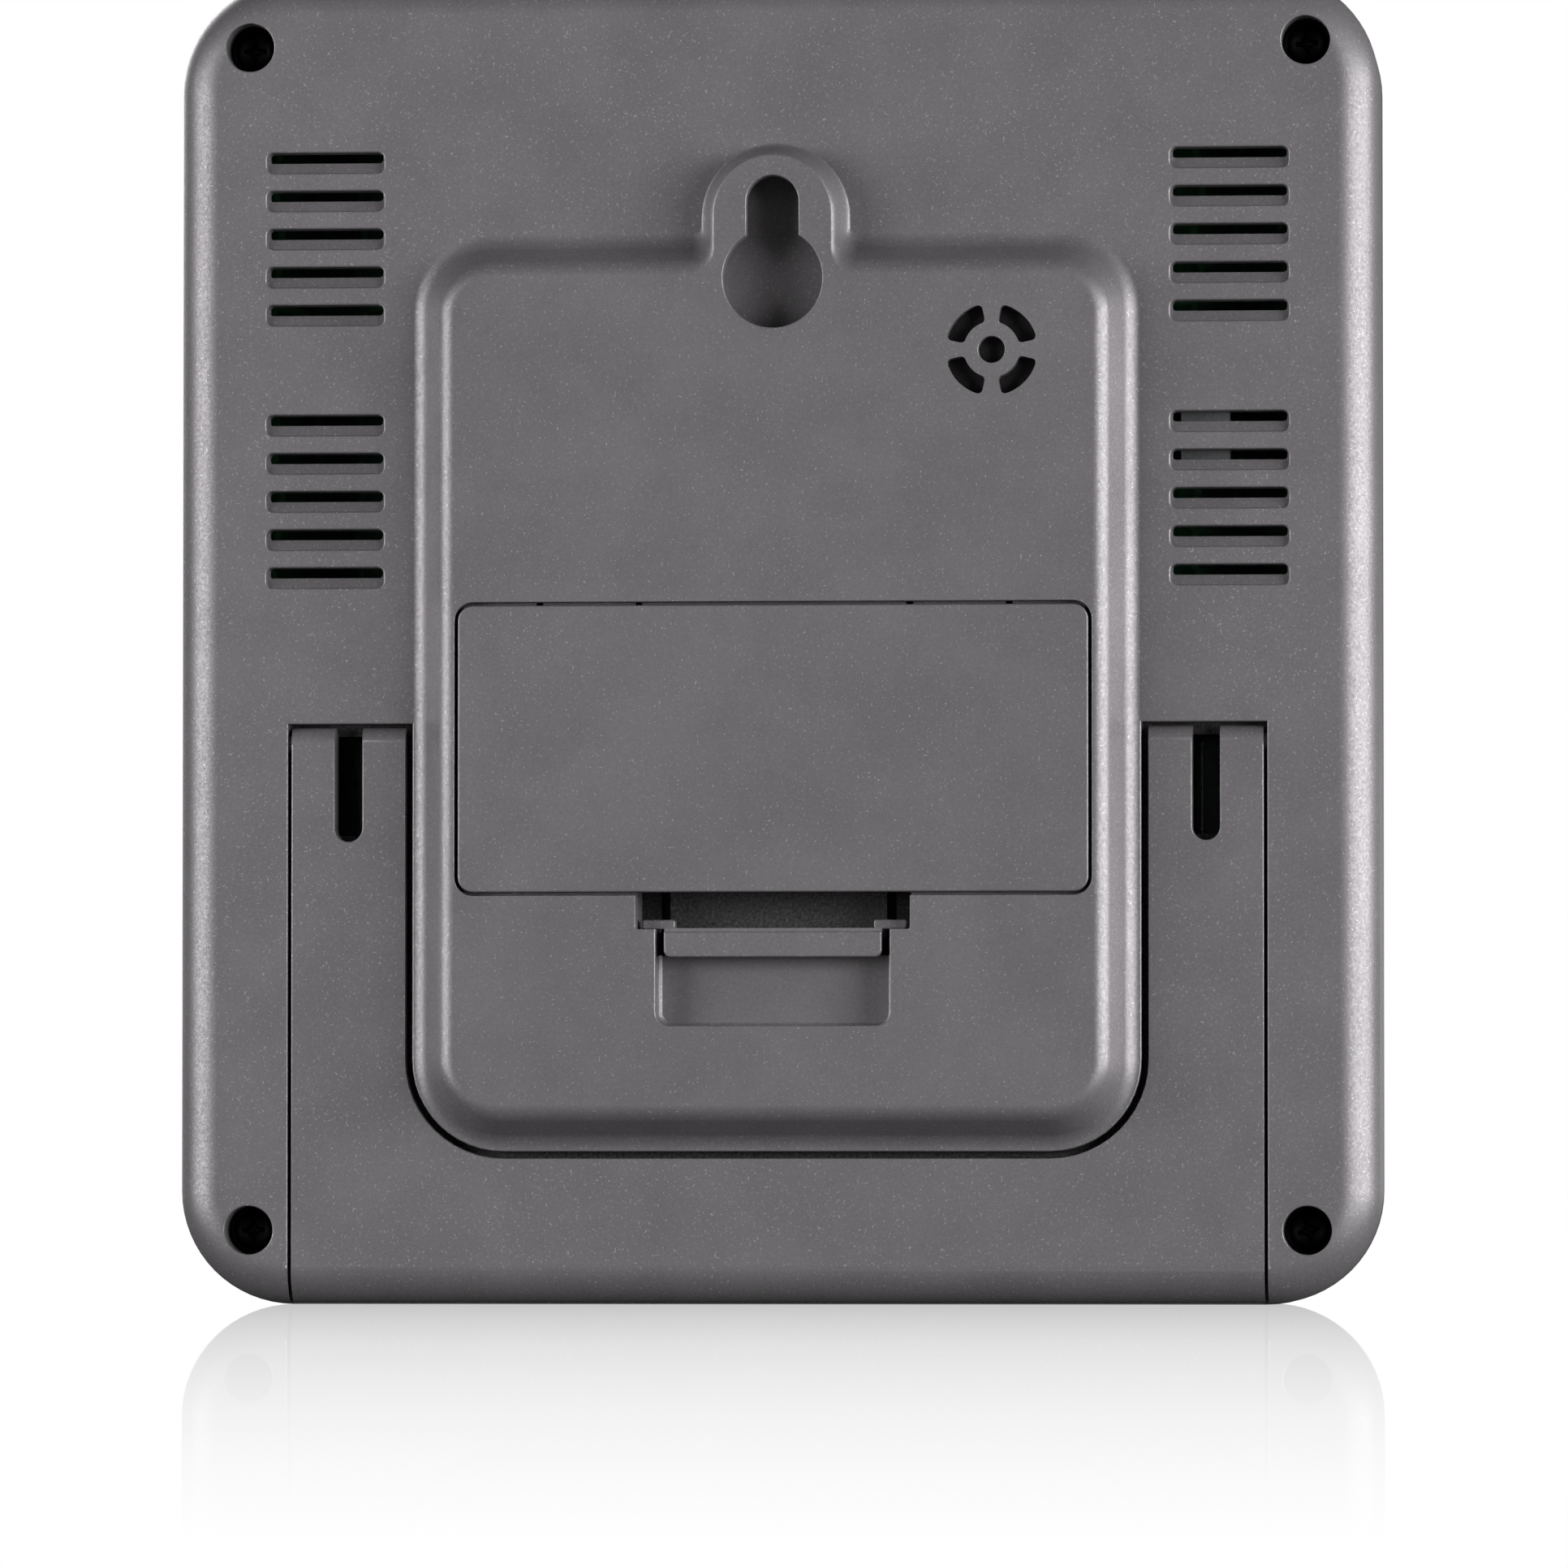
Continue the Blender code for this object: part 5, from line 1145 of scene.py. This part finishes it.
def segment_points(text, left, middle_z, tall):
    """(x, z, turn, length, thickness) for each lit segment, and the x where the text ends."""
    wide, thick, step = tall * 0.48, tall * 0.11, tall * 0.70
    points = []
    x = left + wide / 2
    for sign in text:
        if sign in ":.":
            heights = (-tall * 0.18, tall * 0.18) if sign == ":" else (-tall / 2,)
            points += [(x - wide * 0.30, middle_z + shift, 0.0, thick, thick) for shift in heights]
            x += step * 0.36
            continue
        for key in SEGMENTS[sign]:
            place = {"a": (0, 0.5, 0), "d": (0, -0.5, 0), "g": (0, 0, 0), "b": (0.5, 0.25, 1),
                     "c": (0.5, -0.25, 1),
                     "f": (-0.5, 0.25, 1), "e": (-0.5, -0.25, 1)}[key]
            length = (tall / 2 if place[2] else wide) - thick * 0.25
            points.append((x + place[0] * wide, middle_z + place[1] * tall, place[2] * pi / 2, length, thick))
        x += step
    return points, x - step / 2


clock_points, _ = segment_points("10:08", -36 * MM, 84 * MM, 24 * MM)
warm_points, warm_end = segment_points("22.5", -34 * MM, 46 * MM, 14 * MM)
damp_points, damp_end = segment_points("45", 12 * MM, 46 * MM, 14 * MM)
line_points = [(0.0, 64 * MM, 0.0, 76 * MM, 0.5 * MM), (6 * MM, 46 * MM, pi / 2, 26 * MM, 0.5 * MM)]
ring_radius = 1.2 * MM
ring_angles = [step * pi / 6 for step in range(12)]
unit_points = [(warm_end + 1.6 * MM + ring_radius * cos(angle), 51.5 * MM + ring_radius * sin(angle),
                angle + pi / 2,
                0.8 * MM, 0.4 * MM) for angle in ring_angles]
unit_points += [(damp_end + 3.0 * MM, 50 * MM, pi / 3, 6.0 * MM, 0.6 * MM),
                (damp_end + 1.6 * MM, 52 * MM, 0.0, 1.3 * MM, 1.3 * MM),
                (damp_end + 4.4 * MM, 48 * MM, 0.0, 1.3 * MM, 1.3 * MM)]
all_points = clock_points + warm_points + damp_points + line_points + unit_points
segment = skin("segment", [[(-0.5, 0, 0), (-0.42, 0, -0.5), (0.42, 0, -0.5), (0.5, 0, 0), (0.42, 0, 0.5),
                            (-0.42, 0, 0.5)],
                           [(-0.5, 1, 0), (-0.42, 1, -0.5), (0.42, 1, -0.5), (0.5, 1, 0), (0.42, 1, 0.5),
                            (-0.42, 1, 0.5)]])
carrier = point_cloud("lit_segments", [(x, y_ink, z) for x, z, *_ in all_points])
turns = carrier.data.attributes.new("turn", "FLOAT", "POINT")
sizes = carrier.data.attributes.new("size", "FLOAT_VECTOR", "POINT")
for index, (_, _, turn, length, thick) in enumerate(all_points):
    turns.data[index].value = turn
    sizes.data[index].vector = (length, 0.03 * MM, thick)

print("lit segments:", len(all_points))


# %% The segments laid on the panel
def segment_tree(ink):
    """Lays a piece on each point, turned and sized by the point's own values."""
    group = new_tree("display_segments", {"Piece": ("NodeSocketObject", None),
                                          "Spread": ("NodeSocketFloat", 1.0)})
    start = add_node(group, "NodeGroupInput")
    piece = add_node(group, "GeometryNodeObjectInfo")
    turn = add_node(group, "GeometryNodeInputNamedAttribute", data_type="FLOAT")
    turn.inputs["Name"].default_value = "turn"
    size = add_node(group, "GeometryNodeInputNamedAttribute", data_type="FLOAT_VECTOR")
    size.inputs["Name"].default_value = "size"
    grow = add_node(group, "ShaderNodeVectorMath", operation="SCALE")
    flip = add_node(group, "ShaderNodeMath", operation="MULTIPLY")
    flip.inputs[1].default_value = -1.0
    rotate = add_node(group, "ShaderNodeCombineXYZ")
    pieces = add_node(group, "GeometryNodeInstanceOnPoints")
    link = group.links.new
    link(start.outputs["Piece"], piece.inputs["Object"])
    link(size.outputs["Attribute"], grow.inputs[0])
    link(start.outputs["Spread"], grow.inputs["Scale"])
    link(turn.outputs["Attribute"], flip.inputs[0])
    link(flip.outputs[0], rotate.inputs["Y"])
    link(start.outputs["Geometry"], pieces.inputs["Points"])
    link(piece.outputs["Geometry"], pieces.inputs["Instance"])
    link(rotate.outputs["Vector"], pieces.inputs["Rotation"])
    link(grow.outputs["Vector"], pieces.inputs["Scale"])
    return end_tree(group, pieces.outputs["Instances"], ink)


digits = run_tree(carrier, segment_tree(ink_finish()), {"Piece": segment, "Spread": 1.0})
digits.name = "lcd_segments"
drop(carrier, segment)
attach(digits, "root")
print("segments:", len(digits.data.polygons), "faces")

# %% [markdown]
# ## Cells and contacts
# Under the door lie two round cells, head to tail, between sprung contacts. The jackets are plain printed
# film in two colours with a steel can showing at both ends. Each spring is a Geometry Nodes spiral swept
# with a round wire and fixed to its plate; a curve drawn by hand would not keep an even rise.


# %% Cells
def jacket_finish():
    made, tree, shader, place = blank("cell_jacket", 0.30, 0.35)
    split = tree.nodes.new("ShaderNodeSeparateXYZ")
    tree.links.new(place, split.inputs["Vector"])
    film = noise(tree, place, 900, 3.0)
    body = ramp(tree, film, [(0.3, (0.030, 0.034, 0.040)), (0.7, (0.052, 0.056, 0.064))])
    band = mixed(tree, 0.0, (0.50, 0.24, 0.08), (0.62, 0.33, 0.12))
    tree.links.new(film, band.node.inputs[0])
    tip = tree.nodes.new("ShaderNodeAttribute")
    tip.attribute_name = "toward_nub"
    part = tree.nodes.new("ShaderNodeMath")
    part.operation = "GREATER_THAN"
    part.inputs[1].default_value = 0.74
    tree.links.new(tip.outputs["Fac"], part.inputs[0])
    tree.links.new(mixed(tree, part.outputs[0], body, band), shader.inputs["Base Color"])
    bumped(tree, shader, film, 0.1, 0.00002)
    return made


cell_jacket = jacket_finish()
cell_radius, nub_radius, nub_height = 5.25 * MM, 1.9 * MM, 0.9 * MM
for number, way in ((1, 1), (2, -1)):
    low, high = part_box(f"battery_cell_{number}")
    length = high[0] - low[0]
    can = length - nub_height
    middle = (0, (low[1] + high[1]) / 2, (low[2] + high[2]) / 2)
    r = cell_radius
    profile = [(0.0, 0.0), (r - 1.6 * MM, 0.0), (r - 1.3 * MM, 0.12 * MM), (r - 0.7 * MM, 0.12 * MM),
               (r - 0.5 * MM, 0.0), (r - 0.15 * MM, 0.08 * MM), (r, 0.35 * MM), (r, can - 2.6 * MM),
               (r - 0.10 * MM, can - 2.2 * MM), (r - 0.10 * MM, can - 1.8 * MM), (r, can - 1.4 * MM),
               (r, can - 0.35 * MM), (r - 0.15 * MM, can - 0.08 * MM), (r - 0.5 * MM, can),
               (r - 0.7 * MM, can - 0.15 * MM),
               (nub_radius + 0.5 * MM, can - 0.15 * MM), (nub_radius, can), (nub_radius, length - 0.3 * MM),
               (nub_radius - 0.25 * MM, length), (0.0, length)]
    start = (low[0] if way > 0 else high[0], middle[1], middle[2])
    cell = turned(f"cell_{number}", profile, (way, 0, 0), start, 64, cell_jacket)
    cell.data.materials.append(nickel_steel)
    share = cell.data.attributes.new("toward_nub", "FLOAT", "POINT")
    for vertex in cell.data.vertices:
        share.data[vertex.index].value = abs(vertex.co.x - start[0]) / length
    for face in cell.data.polygons:
        out = sqrt((face.center.y - middle[1]) ** 2 + (face.center.z - middle[2]) ** 2)
        face.material_index = 1 if out < r - 0.55 * MM else 0
    finish_shading(cell, 30)
    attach(cell, "root")
    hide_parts(f"battery_cell_{number}")
    print("cell", number, "length", length)


# %% The spring tree
def spring_tree():
    """A cone-shaped coil: a spiral swept with a round wire."""
    group = new_tree("coil", {"Turns": ("NodeSocketFloat", 3.2), "Wide": ("NodeSocketFloat", 3.1 * MM),
                              "Narrow": ("NodeSocketFloat", 2.0 * MM), "Rise": ("NodeSocketFloat", 5 * MM),
                              "Wire": ("NodeSocketFloat", 0.3 * MM)})
    start = add_node(group, "NodeGroupInput")
    spiral = add_node(group, "GeometryNodeCurveSpiral")
    spiral.inputs["Resolution"].default_value = 40
    ring = add_node(group, "GeometryNodeCurvePrimitiveCircle")
    ring.inputs["Resolution"].default_value = 10
    sweep = add_node(group, "GeometryNodeCurveToMesh")
    sweep.inputs["Fill Caps"].default_value = True
    link = group.links.new
    for label, socket in (("Turns", "Rotations"), ("Wide", "Start Radius"), ("Narrow", "End Radius"),
                          ("Rise", "Height")):
        link(start.outputs[label], spiral.inputs[socket])
    link(start.outputs["Wire"], ring.inputs["Radius"])
    link(spiral.outputs["Curve"], sweep.inputs["Curve"])
    link(ring.outputs["Curve"], sweep.inputs["Profile Curve"])
    return end_tree(group, sweep.outputs["Mesh"], nickel_steel)


# %% Contacts with their springs
def merged(name, things, material):
    """One mesh object from several closed ones."""
    bm = bmesh.new()
    for thing in things:
        bm.from_mesh(thing.data)
    drop(*things)
    return mesh_object(name, bm, material)


coil = spring_tree()
cell_y = (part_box("battery_cell_1")[0][1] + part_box("battery_cell_1")[1][1]) / 2
cell_zs = [(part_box(f"battery_cell_{n}")[0][2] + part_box(f"battery_cell_{n}")[1][2]) / 2 for n in (1, 2)]
plate_half = cell_radius - 1.2 * MM
for node, side, spring_z, button_z in (("battery_bridge_contact", -1, cell_zs[0], cell_zs[1]),
                                       ("battery_positive_contact", 1, None, cell_zs[0]),
                                       ("battery_negative_contact", 1, cell_zs[1], None)):
    zs = [z for z in (spring_z, button_z) if z is not None]
    face = pocket_half - gap
    inner_face = side * (face - 0.5 * MM)
    shape = rectangle(cell_y - plate_half, cell_y + plate_half, min(zs) - plate_half, max(zs) + plate_half,
                      0.8 * MM, 5)
    depths = [(face, -0.04 * MM), (face - 0.05 * MM, 0.0), (face - 0.45 * MM, 0.0),
              (face - 0.5 * MM, -0.04 * MM)]
    middle_z = (min(zs) + max(zs)) / 2
    rings = [[(side * x, p.x * (1 + grow * 100) - cell_y * grow * 100,
               p.y * (1 + grow * 100) - middle_z * grow * 100)
              for p in shape] for x, grow in depths]
    plate = skin("plate", rings)
    low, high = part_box(node)
    tail_low, tail_high = sorted((side * (face - 0.45 * MM), side * (face + 2.4 * MM)))
    neck_low, neck_high = sorted((side * (face - 0.05 * MM), side * (face - 0.45 * MM)))
    join(plate, solid_box("neck", (neck_low, low[1] + 0.02 * MM, zs[0] - MM),
                             (neck_high, cell_y, zs[0] + MM)),
         solid_box("tail", (tail_low, low[1], zs[0] - MM + 0.01 * MM),
                   (tail_high, low[1] + 0.5 * MM, zs[0] + MM - 0.01 * MM)))
    parts = [plate]
    if button_z is not None:
        dome = [(0.0, 0.5 * MM), (0.8 * MM, 0.46 * MM), (1.3 * MM, 0.3 * MM), (1.5 * MM, 0.0),
                (1.6 * MM, -0.1 * MM), (0.0, -0.1 * MM)]
        parts.append(turned("button", dome, (-side, 0, 0), (inner_face, cell_y, button_z), 32, None))
    if spring_z is not None:
        carrier = point_cloud("coil_start", [(0, 0, 0)])
        reach = 2 * pocket_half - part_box("battery_cell_1")[1][0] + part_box("battery_cell_1")[0][0] - 2.8 * MM
        spring = run_tree(carrier, coil, {"Turns": 3.2, "Wide": 3.1 * MM, "Narrow": 2.0 * MM, "Rise": reach,
                                          "Wire": 0.3 * MM})
        drop(carrier)
        spring.data.transform(Matrix.Translation((inner_face - side * 0.2 * MM, cell_y, spring_z))
                              @ Matrix.Rotation(-side * pi / 2, 4, "Y"))
        parts.append(spring)
    contact = merged(node + "_fine", parts, nickel_steel)
    finish_shading(contact, 40)
    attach(contact, "root")
    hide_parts(node)
    print(node, len(contact.data.polygons), "faces")

# %% [markdown]
# ## Parts that keep their working shape
# The board and what sits on it show only through slots, so their working shapes are fine enough. Each gets
# a finish of its own: woven laminate with copper runs under green varnish, poured resin, rubber, sleeving.

# %% Finishes for the inside
def clouded(name, dark, light, roughness, scale, bump=0.0, coat=0.0, stretch=(1, 1, 1)):
    """A plain material with a cloudy colour, uneven shine and a light relief."""
    made, tree, shader, place = blank(name, roughness)
    mapping = tree.nodes.new("ShaderNodeMapping")
    mapping.inputs["Scale"].default_value = stretch
    tree.links.new(place, mapping.inputs["Vector"])
    cloud = noise(tree, mapping.outputs["Vector"], scale, 4.0, 0.6)
    fine = noise(tree, place, scale * 9, 2.0)
    tree.links.new(ramp(tree, cloud, [(0.3, dark), (0.7, light)]), shader.inputs["Base Color"])
    tree.links.new(ramp(tree, fine, [(0.3, roughness + 0.08), (0.7, roughness - 0.05)]),
                   shader.inputs["Roughness"])
    shader.inputs["Coat Weight"].default_value = coat
    bumped(tree, shader, fine, bump, 0.00003)
    return made


# %% The board's laminate
def laminate():
    """Woven glass laminate under green varnish, with lighter copper runs laid out on a grid."""
    made, tree, shader, place = blank("board_laminate", 0.35)
    weave = noise(tree, place, 2600, 3.0)
    cells = tree.nodes.new("ShaderNodeTexVoronoi")
    cells.feature = "DISTANCE_TO_EDGE"
    cells.inputs["Scale"].default_value = 260
    cells.inputs["Randomness"].default_value = 0.35
    tree.links.new(place, cells.inputs["Vector"])
    runs = ramp(tree, cells.outputs["Distance"], [(0.05, 1.0), (0.09, 0.0)])
    varnish = ramp(tree, weave, [(0.3, (0.010, 0.075, 0.030)), (0.7, (0.018, 0.110, 0.045))])
    tree.links.new(mixed(tree, runs, varnish, (0.045, 0.20, 0.08)), shader.inputs["Base Color"])
    shader.inputs["Coat Weight"].default_value = 0.5
    bumped(tree, shader, runs, 0.3, 0.00005)
    return made


# %% Finishes by name
inside_finishes = {
    "board_laminate": laminate(),
    "chip_resin": clouded("chip_resin", (0.006, 0.006, 0.007), (0.016, 0.016, 0.018), 0.22, 300, 0.1, 0.4),
    "nickel_steel": nickel_steel,
    "black_plastic": black_plastic,
    "sensor_body": sensor_plastic,
    "zebra_rubber": clouded("zebra_rubber", (0.42, 0.16, 0.20), (0.66, 0.36, 0.40), 0.6, 1500, 0.2, 0.0,
                            (8, 1, 0.1)),
    "light_guide": clouded("light_guide", (0.72, 0.75, 0.78), (0.86, 0.88, 0.90), 0.25, 200, 0.1, 0.3),
    "led_body": clouded("led_body", (0.72, 0.66, 0.40), (0.86, 0.82, 0.60), 0.3, 1200, 0.1, 0.3),
    "red_sleeve": clouded("red_sleeve", (0.36, 0.012, 0.012), (0.56, 0.030, 0.026), 0.4, 500, 0.2),
    "black_sleeve": clouded("black_sleeve", (0.010, 0.010, 0.011), (0.026, 0.026, 0.028), 0.4, 500, 0.2),
    "plunger_plastic": clouded("plunger_plastic", (0.012, 0.012, 0.013), (0.030, 0.030, 0.032), 0.4, 900,
                               0.3),
    "switch_body": clouded("switch_body", (0.030, 0.030, 0.032), (0.060, 0.060, 0.064), 0.45, 700, 0.3),
}
print("finishes:", len(inside_finishes))

# %% Which piece gets which finish
inside_nodes = {
    "main_board": "board_laminate", "controller_chip": "chip_resin", "clock_crystal": "nickel_steel",
    "climate_sensor": "sensor_body", "buzzer": "black_plastic", "zebra_strip": "zebra_rubber",
    "backlight_guide": "light_guide", "backlight_led": "led_body", "battery_lead_red": "red_sleeve",
    "buzzer_lead_red": "red_sleeve", "battery_lead_black": "black_sleeve",
    "buzzer_lead_black": "black_sleeve",
}
inside_nodes.update({f"board_screw_{n}": "nickel_steel" for n in range(1, 5)})
inside_nodes.update({f"key_plunger_{n}": "plunger_plastic" for n in range(1, 6)})
inside_nodes.update({f"key_switch_{n}": "switch_body" for n in range(1, 6)})
for node, finish in inside_nodes.items():
    mesh = frame["nodes"][node].data
    mesh.materials.clear()
    mesh.materials.append(inside_finishes[finish])
shown = [name for name, node in frame["nodes"].items() if not node.hide_render and name not in inside_nodes]
print("finished inside:", len(inside_nodes), "left plain:", shown)

# %% [markdown]
# ## Floor, light and camera
# A pale floor and a white backdrop stand in for a studio. Two broad, low, soft lamps stand almost beside
# the case, so they skim its flats and catch every rolled edge, the right one stronger. A third lamp lights
# the display side, which the camera doesn't see. The world is nearly dark, as a black room is, to keep the
# walls that face up and down deep. Only the backdrop's lowest strip shows in mirrors: the floor needs it, and
# the rest would wash out the case's edges. From a low angle elsewhere the floor therefore ends in a hard
# grey line.

# %% Finishes for the stage
def glowing(name, colour, strength, roughness):
    made = bpy.data.materials.new(name)
    made.use_nodes = True
    shader = made.node_tree.nodes["Principled BSDF"]
    shader.inputs["Base Color"].default_value = (*colour, 1)
    shader.inputs["Emission Color"].default_value = (1, 1, 1, 1)
    shader.inputs["Emission Strength"].default_value = strength
    shader.inputs["Roughness"].default_value = roughness
    shader.inputs["Specular IOR Level"].default_value = 0.0
    return made


def mirror_floor():
    """White that mirrors a little at every angle, because a real reflection would take over at this one."""
    made = bpy.data.materials.new("studio_floor")
    made.use_nodes = True
    tree = made.node_tree
    tree.nodes.remove(tree.nodes["Principled BSDF"])
    white = tree.nodes.new("ShaderNodeEmission")
    white.inputs["Strength"].default_value = 1.0
    gloss = tree.nodes.new("ShaderNodeBsdfGlossy")
    gloss.inputs["Color"].default_value = (1, 1, 1, 1)
    gloss.inputs["Roughness"].default_value = 0.01
    blend = tree.nodes.new("ShaderNodeMixShader")
    place = tree.nodes.new("ShaderNodeTexCoord")
    split = tree.nodes.new("ShaderNodeSeparateXYZ")
    fade = tree.nodes.new("ShaderNodeMapRange")
    fade.inputs["From Min"].default_value = y_rear
    fade.inputs["From Max"].default_value = 0.68
    fade.inputs["To Min"].default_value = 0.45
    fade.inputs["To Max"].default_value = 0.0
    tree.links.new(place.outputs["Object"], split.inputs["Vector"])
    tree.links.new(split.outputs["Y"], fade.inputs["Value"])
    tree.links.new(fade.outputs["Result"], blend.inputs["Fac"])
    tree.links.new(white.outputs[0], blend.inputs[1])
    tree.links.new(gloss.outputs[0], blend.inputs[2])
    tree.links.new(blend.outputs[0], tree.nodes["Material Output"].inputs["Surface"])
    return made


# %% Floor and backdrop
def stage_plane(name, points, material):
    mesh = bpy.data.meshes.new(name)
    mesh.from_pydata(points, [], [(0, 1, 2, 3)])
    thing = bpy.data.objects.new(name, mesh)
    bpy.context.scene.collection.objects.link(thing)
    mesh.materials.append(material)
    thing.visible_diffuse = False
    return thing


floor = stage_plane("floor", [(-3, -1.5, 0), (3, -1.5, 0), (3, 3, 0), (-3, 3, 0)], mirror_floor())
floor.visible_glossy = False
backdrop_white = glowing("backdrop_white", (0, 0, 0), 1.0, 1.0)
strip_top = 0.1
def upright(low, high):
    """The corners of a wide wall behind the case."""
    return [(-3, -1.5, low), (-3, -1.5, high), (3, -1.5, high), (3, -1.5, low)]


stage_plane("backdrop_strip", upright(0, strip_top), backdrop_white)
backdrop = stage_plane("backdrop", upright(strip_top, 3), backdrop_white)
backdrop.visible_glossy = False
print("stage planes: floor, backdrop and its mirrored strip")


# %% Lamps
def strip_lamp(name, place, target, size, power):
    lamp = bpy.data.lights.new(name, "AREA")
    lamp.shape = "RECTANGLE"
    lamp.size, lamp.size_y = size
    lamp.energy = power
    thing = bpy.data.objects.new(name, lamp)
    thing.location = place
    thing.rotation_euler = (Vector(target) - Vector(place)).to_track_quat("-Z", "Y").to_euler()
    bpy.context.scene.collection.objects.link(thing)
    return thing


middle = (0, y_rear, height / 2)
def around(angle, distance, z):
    """A place at an angle from the case's back, seen from above, positive towards the right of the view."""
    return (-distance * sin(radians(angle)), y_rear + distance * cos(radians(angle)), z)


strip_lamp("lamp_right", around(66, 0.6, 0.09), middle, (0.80, 0.24), 4.6)
strip_lamp("lamp_left", around(-56, 0.6, 0.09), middle, (0.50, 0.24), 2.2)
strip_lamp("lamp_display_side", (0.5, -0.9, 0.5), middle, (0.6, 0.6), 6.0)

world = bpy.data.worlds.new("studio")
bpy.context.scene.world = world
world.use_nodes = True
world.node_tree.nodes["Background"].inputs["Color"].default_value = (1, 1, 1, 1)
world.node_tree.nodes["Background"].inputs["Strength"].default_value = 0.03
bpy.context.scene.view_settings.view_transform = "Standard"

# %% Camera
camera_data = bpy.data.cameras.new("camera")
camera_data.lens = 266.0
camera_data.sensor_width = 36.0
camera_data.clip_end = 20
camera = bpy.data.objects.new("camera", camera_data)
bpy.context.scene.collection.objects.link(camera)
aim = Vector((-0.7 * MM, y_rear, 44.9 * MM))
away = 1.0
rise_angle = radians(-2.0)
side_angle = radians(4.5)
camera.location = aim + away * Vector((-sin(side_angle) * cos(rise_angle), cos(side_angle) * cos(rise_angle),
                                       sin(rise_angle)))
camera.rotation_euler = (aim - camera.location).to_track_quat("-Z", "Y").to_euler()
bpy.context.scene.camera = camera
print("camera", away, "m away,", round(camera.location.z * 1000, 1), "mm above the floor")
